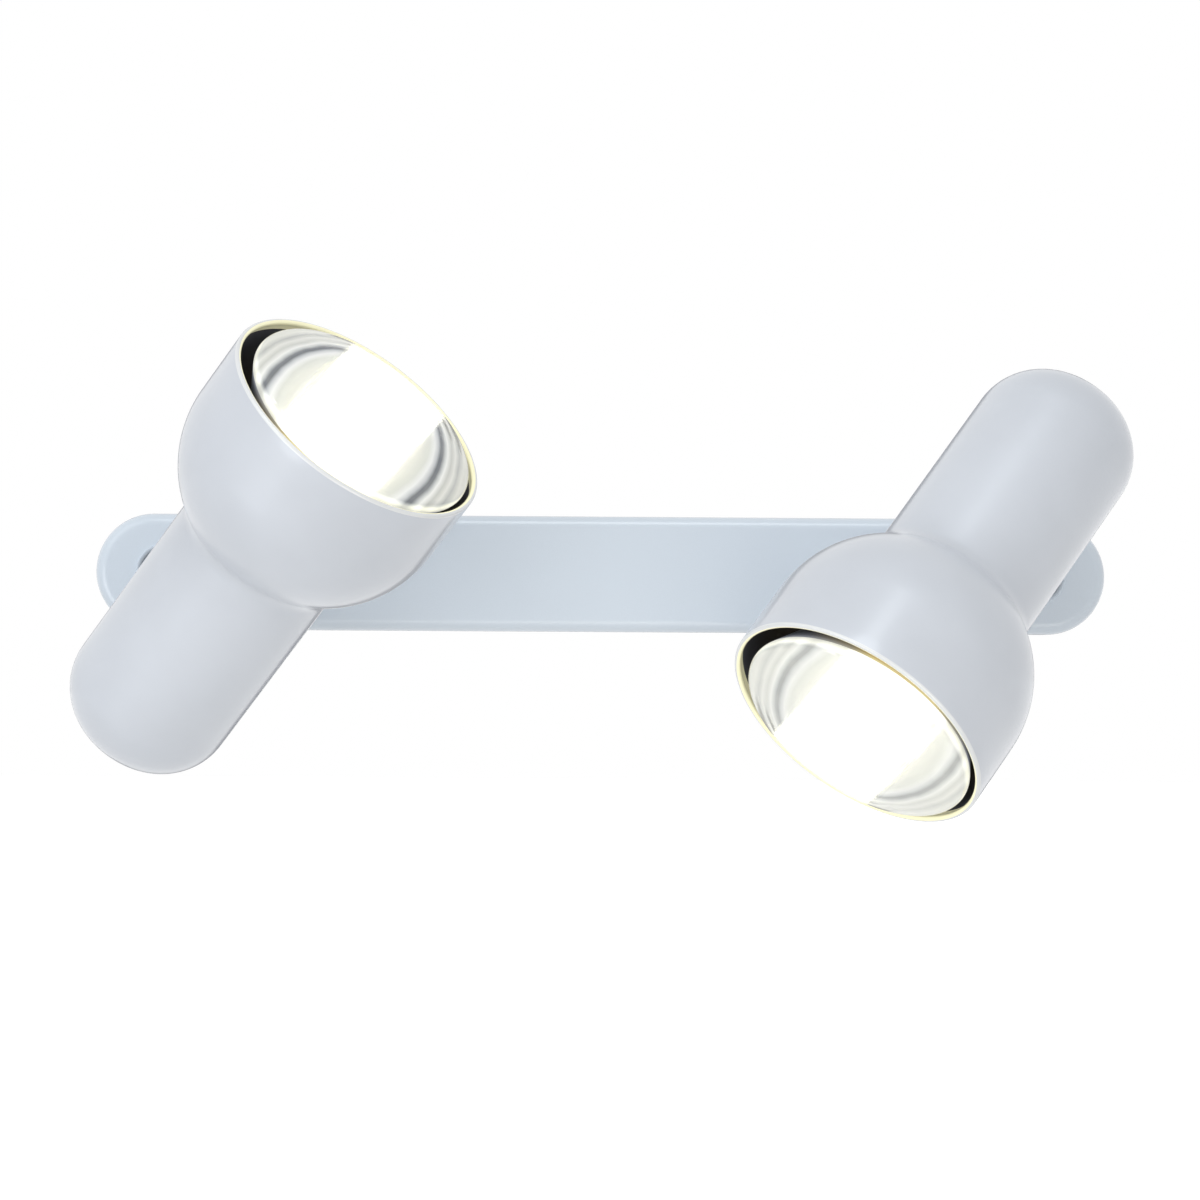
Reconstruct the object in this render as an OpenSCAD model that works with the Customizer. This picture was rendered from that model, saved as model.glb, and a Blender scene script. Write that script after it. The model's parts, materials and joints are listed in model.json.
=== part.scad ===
// Spotlight bar for a wall: two spun shades with reflector lamps on a pressed steel bar.
// X runs along the bar, Z is up and +Y goes into the wall. The wall is the plane y = 0.
// The origin is on the wall, at the middle of the bar.

/* [Bar] */
// Length of the bar, over its round ends
bar_len = 350; // [330:1:420]
// Height of the bar
bar_h = 40; // [38:0.5:48]
// How far the bar's front stands off the wall
bar_d = 19; // [18:0.5:24]
// Sheet thickness of the bar's cover
bar_t = 1; // [0.8:0.1:1.4]
// Radius pressed along the cover's front edge
bar_edge_r = 4; // [2:0.5:6]
// Distance of each swivel from its end of the bar
pivot_inset = 57; // [50:1:60]
// Distance of each cover screw from its end of the bar
screw_inset = 23.5; // [20:0.5:26]
// Mouth radius of the dimple around each cover screw
dimple_r = 7; // [6.5:0.1:8]
// Depth of the dimple
dimple_depth = 2.6; // [2.4:0.1:3.2]

/* [Wall strap] */
// Width of the strap
strap_w = 26; // [24:1:28]
// Height of the strap's turned edges
strap_edge = 6; // [4:0.5:7]
// Sheet thickness of the strap
strap_t = 1.5; // [1:0.1:2]
// Strap that runs on past each cover pillar
strap_end = 7; // [5:0.5:8]
// Distance between the two wall slots
slot_spacing = 140; // [130:1:150]
// Length of a wall slot, end to end
slot_len = 16; // [12:1:20]
// Width of a wall slot
slot_w = 5; // [4.5:0.1:6]
// Distance of the cable hole from the middle
cable_x = 38; // [36:1:44]
// Radius of the cable hole
cable_r = 7; // [6:0.5:8]

/* [Swivel] */
// Distance from the bar's front to the tilt hinge
hinge_out = 20; // [19:0.5:23]
// Distance from the tilt hinge to the shade's wall
arm_len = 19.5; // [19:0.5:22]
// Radius of the fork's ears
ear_r = 8; // [7.5:0.1:8.5]
// Thickness of an ear
ear_t = 4; // [3.5:0.1:4.5]
// Width of the slot between the ears
fork_slot = 6; // [5.5:0.1:6.5]
// Radius of the swivel's flanges
flange_r = 9.5; // [9:0.1:11]
// Thickness of the flange on the bar
flange_t = 2.5; // [2:0.1:3.5]
// Outer radius of both threaded nipples
nipple_r = 5; // [4.8:0.1:5.4]
// Bore of the nipples, for the leads
nipple_bore = 3.3; // [3:0.1:3.6]
// Radius of the tilt hinge's screw
pin_r = 2.5; // [2:0.1:2.8]

/* [Shade] */
// Gap between the lamp and the shade's rolled lip
rim_gap = 3.95; // [3.5:0.05:6]
// Outer diameter of the straight tube
tube_d = 57; // [56:0.5:60]
// Length of the shade, rim to rear end
shade_len = 152; // [150:1:160]
// Length of the straight skirt behind the rim
skirt_len = 25; // [20:1:28]
// Radius of the convex shoulder
shoulder_r = 42; // [38:1:46]
// Radius of the concave neck where shoulder meets tube
neck_fillet = 8; // [5:0.5:12]
// Radius of the rear end's round edge
rear_r = 22; // [18:0.5:24]
// Sheet thickness of the shade
shade_t = 1; // [0.8:0.1:1.3]
// Radius of the rolled lip at the rim
lip_r = 0.9; // [0.8:0.05:1.2]
// Distance from the swivel's nipple forward to the rim
rim_reach = 95; // [93:0.5:98]

/* [Lamp and holder] */
// Diameter of the reflector lamp
lamp_d = 80; // [76:0.5:81]
// Length of the lamp, face to contact
lamp_len = 114; // [112:0.5:116]
// How far the lamp's face stands out of the rim
lamp_proud = 10; // [7:0.5:11]
// Height of the lamp's face above its widest circle
face_h = 10; // [9:0.5:12]
// Focal length of the mirrored bowl
mirror_f = 10; // [9:0.5:11]
// Wall thickness of the glass
glass_t = 1; // [0.8:0.1:1.2]
// Radius of the screw cap
cap_r = 13.1; // [12.8:0.1:13.3]
// Outer radius of the lampholder
holder_r = 17.6; // [17.2:0.1:18]
// Width of the bracket that carries the lampholder
bracket_w = 12; // [11:0.5:13]
// Sheet thickness of the bracket
bracket_t = 1.2; // [1:0.1:1.5]

/* [Pose in the photograph] */
// Left shade's direction, from straight up towards the right
left_turn = 38; // [30:1:45]
// Right shade's direction, from straight down towards the left
right_turn = 37; // [30:1:45]
// Angle of the left shade out of the wall's plane
left_rise = 28; // [20:1:35]
// Angle of the right shade out of the wall's plane
right_rise = 27; // [20:1:35]
// How far the left lamp has sagged about its nipple
left_sag = 1.6; // [0:0.1:2]
// How far the right lamp has sagged about its nipple
right_sag = 0.7; // [0:0.1:2]
// How far each lamp leans down in the play of its screw shell
lamp_lean = 0.6; // [0:0.1:0.8]

/* [Fits] */
// Radial clearance of a turning shaft in its hole
run_fit = 0.06; // [0.03:0.01:0.1]
// Gap between faces that are clamped together
seat_gap = 0.04; // [0.02:0.01:0.08]
// Radial clearance of a screw in a plain hole
screw_fit = 0.15; // [0.1:0.01:0.3]

/* [Hidden] */
$fn = 96;
eps = 0.01;

// Cover screws, pillars and swivels keep their distance from the ends of the bar
end_x = bar_len / 2 - screw_inset;
pivot_x = bar_len / 2 - pivot_inset;
strap_len = 2 * (end_x + strap_end);
strap_bend_r = strap_t + 1;
dimple_floor_r = dimple_r - 1.4;
dimple_back = bar_d - dimple_depth - bar_t;
cover_screw_r = 2;
cover_screw_head_r = 4.2;
cover_screw_head_h = 2.2;
cover_screw_len = 9;
pillar_r = 4;
pillar_spigot_r = 3;

// Terminal block and earth point
ways = 3;
way_pitch = 10;
way_w = 8;
block_depth = 17;
block_h = 12;
block_base_h = 4;
wire_z = strap_t + 6;
wire_hole_r = 2.1;
clamp_screw_r = 1.7;
clamp_screw_y = 4.6;
earth_x = 30;
earth_screw_r = 2;
tag_t = 0.8;
tag_r = 4.4;
grommet_lip_r = cable_r + 1.8;
grommet_bore_r = cable_r - 2.2;

// Leads: two insulated cores side by side
lead_r = 0.85;
lead_gap = 3;
lead_y = 9.3;
lead_z = wire_z + 0.5;
lead_end_gap = 0.4;

// Swivel
collar_gap = 1;
fork_w = fork_slot + 2 * ear_t;
fork_round_r = flange_r - 0.2;
fork_floor = hinge_out - ear_r - 0.6;
nipple_in = 9;
nut_af = 14;
lock_nut_t = 3;
washer_t = 1;
hinge_washer_t = 0.8;
hinge_nut_t = 3.2;
hinge_head_r = 4.4;
hinge_head_t = 2.6;
tongue_t = fork_slot - 0.2;
tongue_r = ear_r - 0.2;
collar_r = flange_r - 0.7;
saddle_t = 2;

// Shade: z runs along its axis, z = 0 at the nipple, the rim in front
rim_r = lamp_d / 2 + rim_gap + 2 * lip_r;
tube_r = tube_d / 2;
hinge_y = tube_r + arm_len;
rear_z = rim_reach - shade_len;
shoulder_z = rim_reach - skirt_len;
shoulder_x = rim_r - shoulder_r;
fillet_x = tube_r + neck_fillet;
fillet_z = shoulder_z - sqrt(pow(shoulder_r + neck_fillet, 2) - pow(fillet_x - shoulder_x, 2));
blend_angle = atan2(fillet_z - shoulder_z, fillet_x - shoulder_x);
tube_in_r = tube_r - shade_t;

// Bracket, washer and nut inside the shade
sag_room = 1.2;
foot_y = sqrt(pow(tube_in_r, 2) - pow(bracket_w / 2 + sag_room, 2)) - seat_gap;
foot_back = foot_y - bracket_t;
inner_washer_t = 0.8;
shade_nut_t = 2.4;
nipple_end_y = foot_back - inner_washer_t - shade_nut_t - 3 * seat_gap - 0.6;
foot_front_z = 7.5;
bend_r = 3;

// Lamp
lamp_r = lamp_d / 2;
face_z = rim_reach + lamp_proud;
wide_z = face_z - face_h;
contact_z = face_z - lamp_len;
edge_r = 3;
edge_x = lamp_r - edge_r;
face_r = (pow(edge_x, 2) + pow(face_h, 2) - pow(edge_r, 2)) / (2 * (face_h - edge_r));
face_angle = asin(edge_x / (face_r - edge_r));
bowl_slope = atan(2 * mirror_f / lamp_r);
bowl_r = edge_x + edge_r * cos(bowl_slope);
bowl_z = wide_z - edge_r * sin(bowl_slope) - pow(bowl_r, 2) / (4 * mirror_f);
neck_r = 17;
neck_z = bowl_z + pow(neck_r, 2) / (4 * mirror_f);
cap_len = 27;
insulator_len = 4.5;
cap_front_z = contact_z + cap_len;
cap_rear_z = contact_z + insulator_len;
cap_t = 0.5;
seal_r = cap_r - cap_t - 0.1;
vitrite_r = 8;
contact_r = 4.8;
contact_crown = 0.9;
contact_dome_r = (pow(contact_r, 2) + pow(contact_crown, 2)) / (2 * contact_crown);
lean_z = contact_z + contact_dome_r;
stem_r = 2.4;
stem_foot_r = seal_r - glass_t - 0.3;
filament_z = bowl_z + mirror_f + 2;
filament_ring_r = 8;
filament_r = 0.6;
support_r = 0.45;

// Lampholder
shell_r = cap_r + 1.1;
shell_t = 0.6;
shell_bore_r = shell_r + 0.1;
holder_floor_z = contact_z - 2;
holder_rear_z = holder_floor_z - 11;
holder_mouth_z = cap_front_z;
holder_mouth_r = holder_r + 1;
plate_z = holder_rear_z - seat_gap;
holder_screw_x = 9;
holder_screw_r = 1.5;
terminal_z = holder_rear_z + 4.5;
lead_run_y = nipple_end_y - lead_r - 0.2;

left = [-pivot_x, left_turn, left_rise, left_sag, lamp_lean];
right = [pivot_x, 180 + right_turn, right_rise, -right_sag, -lamp_lean];

satin_white = [0.84, 0.86, 0.88];
pale_blue = [0.78, 0.83, 0.87];
zinc = [0.72, 0.73, 0.72];
brass = [0.80, 0.66, 0.32];
porcelain = [0.93, 0.92, 0.88];

// Frames that place a piece. In the bar's frame y is up and z comes out of the wall.
module on_bar() {
    rotate([90, 0, 0]) children();
}

// In a swivel's frame z = 0 is the bar's front and y is the way the shade points
module on_swivel(side) {
    translate([side[0], -bar_d, 0]) rotate([0, side[1], 0]) rotate([90, 0, 0]) children();
}

// In a shade's frame z is its axis towards the rim, and the hinge is at y = hinge_y
module on_head(side) {
    on_swivel(side) translate([0, 0, hinge_out]) rotate([side[2] - 90, 0, 0])
        translate([0, -hinge_y, 0]) children();
}

// What hangs on the bracket has sagged about the nipple
module on_bracket(side) {
    on_head(side) rotate([0, side[3], 0]) children();
}

// The lamp leans in its shell about the centre of its round contact
module on_lamp(side) {
    on_bracket(side) translate([0, 0, lean_z]) rotate([side[4], 0, 0])
        translate([0, 0, -lean_z]) children();
}

// Points along an arc, and a list of points turned round
function arc(x, y, r, from, to, steps) =
    [for (i = [0 : steps]) let (a = from + (to - from) * i / steps) [x + r * cos(a), y + r * sin(a)]];

function backwards(points) = [for (i = [len(points) - 1 : -1 : 0]) points[i]];

// Plain shapes that several pieces share
module stadium(l, h) {
    square([l - h, h], center = true);
    for (s = [-1, 1]) translate([s * (l - h) / 2, 0]) circle(d = h);
}

module rounded_slab(l, h, d, r) {
    linear_extrude(d - r) stadium(l, h);
    linear_extrude(d) stadium(l - 2 * r, h - 2 * r);
    for (s = [-1, 1]) {
        translate([-(l - h) / 2, s * (h / 2 - r), d - r]) rotate([0, 90, 0]) cylinder(h = l - h, r = r);
        translate([s * (l - h) / 2, 0, d - r]) rotate_extrude() translate([h / 2 - r, 0]) circle(r = r);
    }
}

module round_square(w, h, r) {
    square([w - 2 * r, h], center = true);
    square([w, h - 2 * r], center = true);
    for (sx = [-1, 1], sy = [-1, 1]) translate([sx * (w / 2 - r), sy * (h / 2 - r)]) circle(r = r);
}

module ring(r_out, r_in, h) {
    difference() {
        cylinder(h = h, r = r_out);
        translate([0, 0, -eps]) cylinder(h = h + 2 * eps, r = r_in);
    }
}

module hex_nut(af, r_in, h) {
    difference() {
        intersection() {
            cylinder(h = h, d = af / cos(30), $fn = 6);
            cylinder(h = h, r1 = af / 2 + 0.35, r2 = af / 2 + 0.35 + h);
        }
        translate([0, 0, -eps]) cylinder(h = h + 2 * eps, r = r_in);
    }
}

// A screw along z with its head above z = 0 and its shank below
module pan_screw(r, len, head_r, head_h) {
    crown = head_h * 0.6;
    dome_r = (pow(head_r, 2) + pow(crown, 2)) / (2 * crown);
    difference() {
        union() {
            translate([0, 0, -len]) cylinder(h = len + eps, r = r);
            cylinder(h = head_h - crown, r = head_r);
            intersection() {
                translate([0, 0, head_h - dome_r]) sphere(r = dome_r);
                cylinder(h = head_h, r = head_r);
            }
        }
        for (a = [0, 90]) rotate(a) translate([0, 0, head_h])
            cube([head_r * 1.1, head_r * 0.2, head_h], center = true);
    }
}

module slot_screw(r, len, head_r, head_h) {
    difference() {
        union() {
            translate([0, 0, -len]) cylinder(h = len + eps, r = r);
            cylinder(h = head_h - 0.5, r = head_r);
            translate([0, 0, head_h - 0.5]) cylinder(h = 0.5, r1 = head_r, r2 = head_r - 0.5);
        }
        translate([0, 0, head_h]) cube([3 * head_r, head_r * 0.25, head_h * 0.9], center = true);
    }
}

// A route whose corners are turned into round bends
function unit(v) = v / norm(v);

function corner(before, point, after, bend, steps) =
    let (u = unit(point - before), v = unit(after - point), turn = acos(u * v),
        inward = unit(v - (u * v) * u), centre = point - u * bend * tan(turn / 2) + inward * bend)
    [for (k = [0 : steps]) centre - inward * bend * cos(turn * k / steps) + u * bend * sin(turn * k / steps)];

function route(points, bend = 2.2, steps = 3) = concat([points[0]],
    [for (i = [1 : 1 : len(points) - 2], p = corner(points[i - 1], points[i], points[i + 1], bend, steps)) p],
    [points[len(points) - 1]]);

// One core swept along a route, its section carried from ring to ring without a twist
function square_to(n, t) = unit(n - (n * t) * t);

module core(points, r, sides = 8) {
    path = route(points);
    last = len(path) - 1;
    along = [for (i = [0 : last]) unit(path[min(i + 1, last)] - path[max(i - 1, 0)])];
    across = [for (i = 0, n = square_to([0.3, 0.5, 0.8], along[0]); i <= last;
        i = i + 1, n = square_to(n, along[min(i, last)])) n];
    rings = [for (i = [0 : last], k = [0 : sides - 1])
        path[i] + r * (cos(360 * k / sides) * across[i] + sin(360 * k / sides) * cross(along[i], across[i]))];
    polyhedron(rings, concat(
        [[for (k = [0 : sides - 1]) k]],
        [for (i = [0 : last - 1], k = [0 : sides - 1], half = [0, 1]) let (a = i * sides, m = (k + 1) % sides)
            half == 0 ? [a + k, a + sides + k, a + m] : [a + m, a + sides + k, a + sides + m]],
        [[for (k = [sides - 1 : -1 : 0]) last * sides + k]]));
}

// Bar
module bar_cover() {
    color(pale_blue) on_bar() difference() {
        union() {
            difference() {
                rounded_slab(bar_len, bar_h, bar_d, bar_edge_r);
                translate([0, 0, -eps])
                    rounded_slab(bar_len - 2 * bar_t, bar_h - 2 * bar_t, bar_d - bar_t + eps,
                        bar_edge_r - bar_t);
            }
            for (s = [-1, 1]) translate([s * end_x, 0, dimple_back])
                cylinder(h = dimple_depth + bar_t / 2, r1 = dimple_floor_r + bar_t, r2 = dimple_r + bar_t);
        }
        for (s = [-1, 1]) {
            translate([s * end_x, 0, bar_d - dimple_depth])
                cylinder(h = dimple_depth + eps, r1 = dimple_floor_r, r2 = dimple_r);
            translate([s * end_x, 0, 0]) cylinder(h = bar_d, r = cover_screw_r + screw_fit);
            translate([s * pivot_x, 0, 0]) cylinder(h = bar_d + eps, r = nipple_r + run_fit);
        }
    }
}

module strap_section() {
    difference() {
        translate([0, strap_edge]) round_square(strap_w, 2 * strap_edge, strap_bend_r);
        translate([0, strap_edge])
            round_square(strap_w - 2 * strap_t, 2 * (strap_edge - strap_t), strap_bend_r - strap_t);
        translate([-strap_w, strap_edge]) square([2 * strap_w, 2 * strap_edge]);
    }
}

module mounting_strap() {
    color(zinc) on_bar() difference() {
        translate([-strap_len / 2, 0, 0]) rotate([90, 0, 90]) linear_extrude(strap_len) strap_section();
        for (s = [-1, 1]) {
            translate([s * end_x, 0, -eps]) cylinder(h = 2 * strap_t, r = pillar_spigot_r + seat_gap);
            translate([s * slot_spacing / 2, 0, -eps]) linear_extrude(2 * strap_t) stadium(slot_len, slot_w);
        }
        translate([-cable_x, 0, -eps]) cylinder(h = 2 * strap_t, r = cable_r);
        translate([earth_x, 0, -eps]) cylinder(h = 2 * strap_t, r = earth_screw_r + seat_gap);
    }
}

module cover_pillars() {
    color(zinc) on_bar() for (s = [-1, 1]) translate([s * end_x, 0, 0]) difference() {
        union() {
            translate([0, 0, strap_t + seat_gap])
                cylinder(h = dimple_back - strap_t - 2 * seat_gap, r = pillar_r);
            translate([0, 0, 0.1]) cylinder(h = strap_t, r = pillar_spigot_r);
        }
        cylinder(h = bar_d, r = cover_screw_r + seat_gap);
    }
}

module cover_screws() {
    color("silver") on_bar() for (s = [-1, 1]) translate([s * end_x, 0, bar_d - dimple_depth + seat_gap])
        pan_screw(cover_screw_r, cover_screw_len, cover_screw_head_r, cover_screw_head_h);
}

module terminal_block() {
    color(porcelain) on_bar() translate([0, 0, strap_t + seat_gap]) difference() {
        union() {
            translate([-(ways * way_pitch) / 2, -block_depth / 2, 0])
                cube([ways * way_pitch, block_depth, block_base_h]);
            for (i = [0 : ways - 1]) translate([(i - (ways - 1) / 2) * way_pitch, 0, 0]) {
                translate([-way_w / 2, -block_depth / 2, 0]) cube([way_w, block_depth, wire_z]);
                translate([0, block_depth / 2, wire_z - strap_t]) rotate([90, 0, 0])
                    cylinder(h = block_depth, r = way_w / 2);
                for (s = [-1, 1]) translate([0, s * clamp_screw_y, 0])
                    cylinder(h = block_h, r = clamp_screw_r + 1.2);
            }
        }
        for (i = [0 : ways - 1]) translate([(i - (ways - 1) / 2) * way_pitch, 0, 0]) {
            translate([0, block_depth, wire_z - strap_t]) rotate([90, 0, 0])
                cylinder(h = 2 * block_depth, r = wire_hole_r);
            for (s = [-1, 1]) translate([0, s * clamp_screw_y, wire_z - strap_t])
                cylinder(h = block_h, r = clamp_screw_r + screw_fit);
        }
    }
}

module terminal_screws() {
    color(brass) on_bar() for (i = [0 : ways - 1], s = [-1, 1])
        translate([(i - (ways - 1) / 2) * way_pitch, s * clamp_screw_y, wire_z + lead_r + 0.1]) difference() {
            cylinder(h = block_h - (wire_z - strap_t) - lead_r - 1.2, r = clamp_screw_r);
            translate([0, 0, block_h - (wire_z - strap_t) - lead_r - 1.2])
                cube([3 * clamp_screw_r, 0.6, 1.4], center = true);
        }
}

module cable_grommet() {
    color("dimgray") on_bar() translate([-cable_x, 0, 0]) rotate_extrude() difference() {
        union() {
            translate([grommet_bore_r, 0.1]) square([cable_r - seat_gap - grommet_bore_r, strap_t + 1.6]);
            translate([grommet_bore_r + 1, strap_t + seat_gap])
                square([grommet_lip_r - grommet_bore_r - 1.8, 1.6]);
            translate([grommet_lip_r - 0.8, strap_t + seat_gap + 0.8]) circle(r = 0.8);
        }
        translate([grommet_bore_r - 0.8, strap_t + 2.6]) rotate(45) square(2, center = true);
    }
}

module earth_screw() {
    color(brass) on_bar() translate([earth_x, 0, strap_t + tag_t + 3 * seat_gap])
        pan_screw(earth_screw_r, strap_t + tag_t, 3.6, 2.2);
}

module earth_lead() {
    way_x = way_pitch;
    low = strap_t + 2 * seat_gap;
    color("yellowgreen") on_bar() {
        translate([earth_x, 0, low]) {
            ring(tag_r, earth_screw_r + screw_fit, tag_t);
            translate([-1.6, tag_r - 0.8, 0]) cube([3.2, 6, tag_t]);
        }
        core([[way_x, 6, wire_z], [way_x, lead_y + 1, wire_z], [earth_x, lead_y + 1, low + lead_r],
            [earth_x, tag_r + 2, low + lead_r]], lead_r);
    }
}

// The live core is i = 0 and the neutral core is i = 1; the left pair leaves the block's upper side
module bar_leads(s) {
    for (i = [0, 1]) {
        outer = s < 0 ? i : 1 - i;
        x = (i - 1) * way_pitch;
        y = -s * (lead_y + outer * lead_gap);
        mouth_x = s * (pivot_x + (outer - 0.5) * lead_gap);
        mouth_z = bar_d - nipple_in - lead_end_gap;
        color(i == 0 ? "sienna" : "royalblue") on_bar()
            core([[x, -s * 6, wire_z], [x, y, wire_z], [x + s * 12, y, lead_z],
                [s * (pivot_x - 12), y, lead_z], [mouth_x, 0, mouth_z - 3], [mouth_x, 0, mouth_z]], lead_r);
    }
}

// Swivel
module swivel_base() {
    color(satin_white) difference() {
        union() {
            translate([0, 0, seat_gap]) cylinder(h = flange_t - 1, r = flange_r);
            translate([0, 0, seat_gap + flange_t - 1]) cylinder(h = 1, r1 = flange_r, r2 = flange_r - 1);
            intersection() {
                union() {
                    translate([-fork_w / 2, -ear_r, seat_gap])
                        cube([fork_w, 2 * ear_r, hinge_out - seat_gap]);
                    translate([-fork_w / 2, 0, hinge_out]) rotate([0, 90, 0]) cylinder(h = fork_w, r = ear_r);
                }
                cylinder(h = hinge_out + ear_r, r = fork_round_r);
            }
            translate([0, 0, -nipple_in]) cylinder(h = nipple_in + 1, r = nipple_r);
        }
        translate([-fork_slot / 2, -flange_r, fork_floor]) cube([fork_slot, 2 * flange_r, hinge_out + ear_r]);
        translate([-fork_w, 0, hinge_out]) rotate([0, 90, 0]) cylinder(h = 2 * fork_w, r = pin_r + run_fit);
        translate([0, 0, -nipple_in - eps]) cylinder(h = nipple_in + fork_floor + 1, r = nipple_bore);
    }
}

module lock_washer() {
    color("silver") translate([0, 0, -bar_t - seat_gap - washer_t]) difference() {
        ring(flange_r - 1, nipple_r + run_fit, washer_t);
        for (a = [0 : 30 : 330]) rotate(a) translate([flange_r - 1, 0, washer_t / 2])
            cube([1.6, 1, 2 * washer_t], center = true);
    }
}

module lock_nut() {
    color(brass) translate([0, 0, -bar_t - 2 * seat_gap - washer_t]) rotate([180, 0, 0])
        hex_nut(nut_af, nipple_r + seat_gap, lock_nut_t);
}

module hinge_screw() {
    len = fork_w + hinge_washer_t + hinge_nut_t + 4 * seat_gap + 0.5;
    color("silver") translate([fork_w / 2 + hinge_washer_t + 2 * seat_gap, 0, hinge_out]) rotate([0, 90, 0])
        slot_screw(pin_r, len, hinge_head_r, hinge_head_t);
}

module hinge_washer() {
    color("silver") translate([fork_w / 2 + seat_gap, 0, hinge_out]) rotate([0, 90, 0])
        ring(hinge_head_r + 0.4, pin_r + seat_gap, hinge_washer_t);
}

module hinge_nut() {
    color(brass) translate([-fork_w / 2 - seat_gap, 0, hinge_out]) rotate([0, -90, 0])
        hex_nut(8, pin_r + seat_gap, hinge_nut_t);
}

module swivel_leads() {
    for (i = [0, 1]) color(i == 0 ? "sienna" : "royalblue") translate([(i - 0.5) * lead_gap, 0, 0])
        translate([0, 0, -nipple_in + 0.1]) cylinder(h = nipple_in + fork_floor - 0.2, r = lead_r, $fn = 24);
}

// Head
module knuckle_arm() {
    collar_top = hinge_y - ear_r - collar_gap;
    collar_foot = tube_r + saddle_t;
    color(satin_white) difference() {
        union() {
            translate([-tongue_t / 2, hinge_y, 0]) rotate([0, 90, 0]) cylinder(h = tongue_t, r = tongue_r);
            intersection() {
                translate([-tongue_t / 2, collar_foot, -tongue_r])
                    cube([tongue_t, hinge_y - collar_foot, 2 * tongue_r]);
                translate([0, collar_foot, 0]) rotate([-90, 0, 0])
                    cylinder(h = hinge_y - collar_foot, r = tongue_r);
            }
            translate([0, collar_foot, 0]) rotate([-90, 0, 0])
                cylinder(h = collar_top - collar_foot - 1.5, r = collar_r);
            translate([0, collar_top - 1.5, 0]) rotate([-90, 0, 0])
                cylinder(h = 1.5, r1 = collar_r, r2 = collar_r - 1.5);
            translate([0, nipple_end_y, 0]) rotate([-90, 0, 0])
                cylinder(h = collar_foot - nipple_end_y + 1, r = nipple_r);
        }
        translate([-tongue_t, hinge_y, 0]) rotate([0, 90, 0]) cylinder(h = 2 * tongue_t, r = pin_r + run_fit);
        translate([0, nipple_end_y - eps, 0]) rotate([-90, 0, 0])
            cylinder(h = collar_top - nipple_end_y - 1.5, r = nipple_bore);
    }
}

module saddle() {
    color("gray") difference() {
        translate([0, tube_r - saddle_t, 0]) rotate([-90, 0, 0])
            ring(collar_r, nipple_r + seat_gap, 2 * saddle_t - seat_gap);
        translate([0, 0, -2 * flange_r]) cylinder(h = 4 * flange_r, r = tube_r + seat_gap);
    }
}

// Outline of the shade from the skirt to the rear end, drawn inwards by inset
function shade_outline(inset) = concat(
    arc(shoulder_x, shoulder_z, shoulder_r - inset, 0, blend_angle, 12),
    arc(fillet_x, fillet_z, neck_fillet + inset, 180 + blend_angle, 180, 5),
    arc(tube_r - rear_r, rear_z + rear_r, rear_r - inset, 0, -90, 10),
    [[0, rear_z + inset]]);

module shade() {
    lip_x = rim_r - lip_r;
    lip_z = rim_reach - lip_r;
    color(satin_white) difference() {
        rotate_extrude() polygon(concat(
            [[rim_r - shade_t, lip_z - 1.4 * lip_r]],
            arc(lip_x, lip_z, lip_r, 240, 0, 8),
            shade_outline(0),
            backwards(shade_outline(shade_t))));
        translate([0, tube_r / 2, 0]) rotate([-90, 0, 0]) cylinder(h = tube_r, r = nipple_r + seat_gap);
    }
}

module holder_bracket() {
    color(zinc) difference() {
        union() {
            translate([-bracket_w / 2, foot_back, plate_z + bend_r])
                cube([bracket_w, bracket_t, -plate_z - bend_r]);
            intersection() {
                translate([0, foot_back, 0]) rotate([-90, 0, 0]) cylinder(h = bracket_t, r = foot_front_z);
                translate([-bracket_w / 2, foot_back, -eps]) cube([bracket_w, bracket_t, 2 * foot_front_z]);
            }
            translate([-bracket_w / 2, foot_y - bend_r, plate_z - bracket_t + bend_r]) rotate([0, 90, 0])
                linear_extrude(bracket_w) intersection() {
                    difference() {
                        circle(r = bend_r);
                        circle(r = bend_r - bracket_t);
                    }
                    square(bend_r + 1);
                }
            translate([-bracket_w / 2, 0, plate_z - bracket_t])
                cube([bracket_w, foot_y - bend_r + eps, bracket_t]);
            translate([-bracket_w / 2, foot_back, plate_z + bend_r - bracket_t - eps])
                cube([bracket_w, bracket_t, bracket_t + 2 * eps]);
            translate([0, 0, plate_z - bracket_t]) cylinder(h = bracket_t, r = holder_screw_x + 4);
        }
        translate([0, foot_back - 1, 0]) rotate([-90, 0, 0])
            cylinder(h = bracket_t + 2, r = nipple_r + seat_gap);
        for (s = [-1, 1]) translate([s * holder_screw_x, 0, plate_z - 2 * bracket_t])
            cylinder(h = 3 * bracket_t, r = holder_screw_r + screw_fit);
        translate([0, 0, plate_z - 2 * bracket_t]) cylinder(h = 3 * bracket_t, r = 4);
    }
}

module inner_washer() {
    color("silver") translate([0, foot_back - seat_gap, 0]) rotate([90, 0, 0])
        ring(nut_af / 2, nipple_r + seat_gap, inner_washer_t);
}

module shade_nut() {
    color(brass) translate([0, foot_back - inner_washer_t - 2 * seat_gap, 0]) rotate([90, 0, 0])
        hex_nut(nut_af, nipple_r + seat_gap, shade_nut_t);
}

module holder_screws() {
    color("silver") for (s = [-1, 1]) translate([s * holder_screw_x, 0, plate_z - bracket_t - seat_gap])
        rotate([180, 0, 0]) slot_screw(holder_screw_r, bracket_t + 6, 2.9, 1.8);
}

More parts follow.
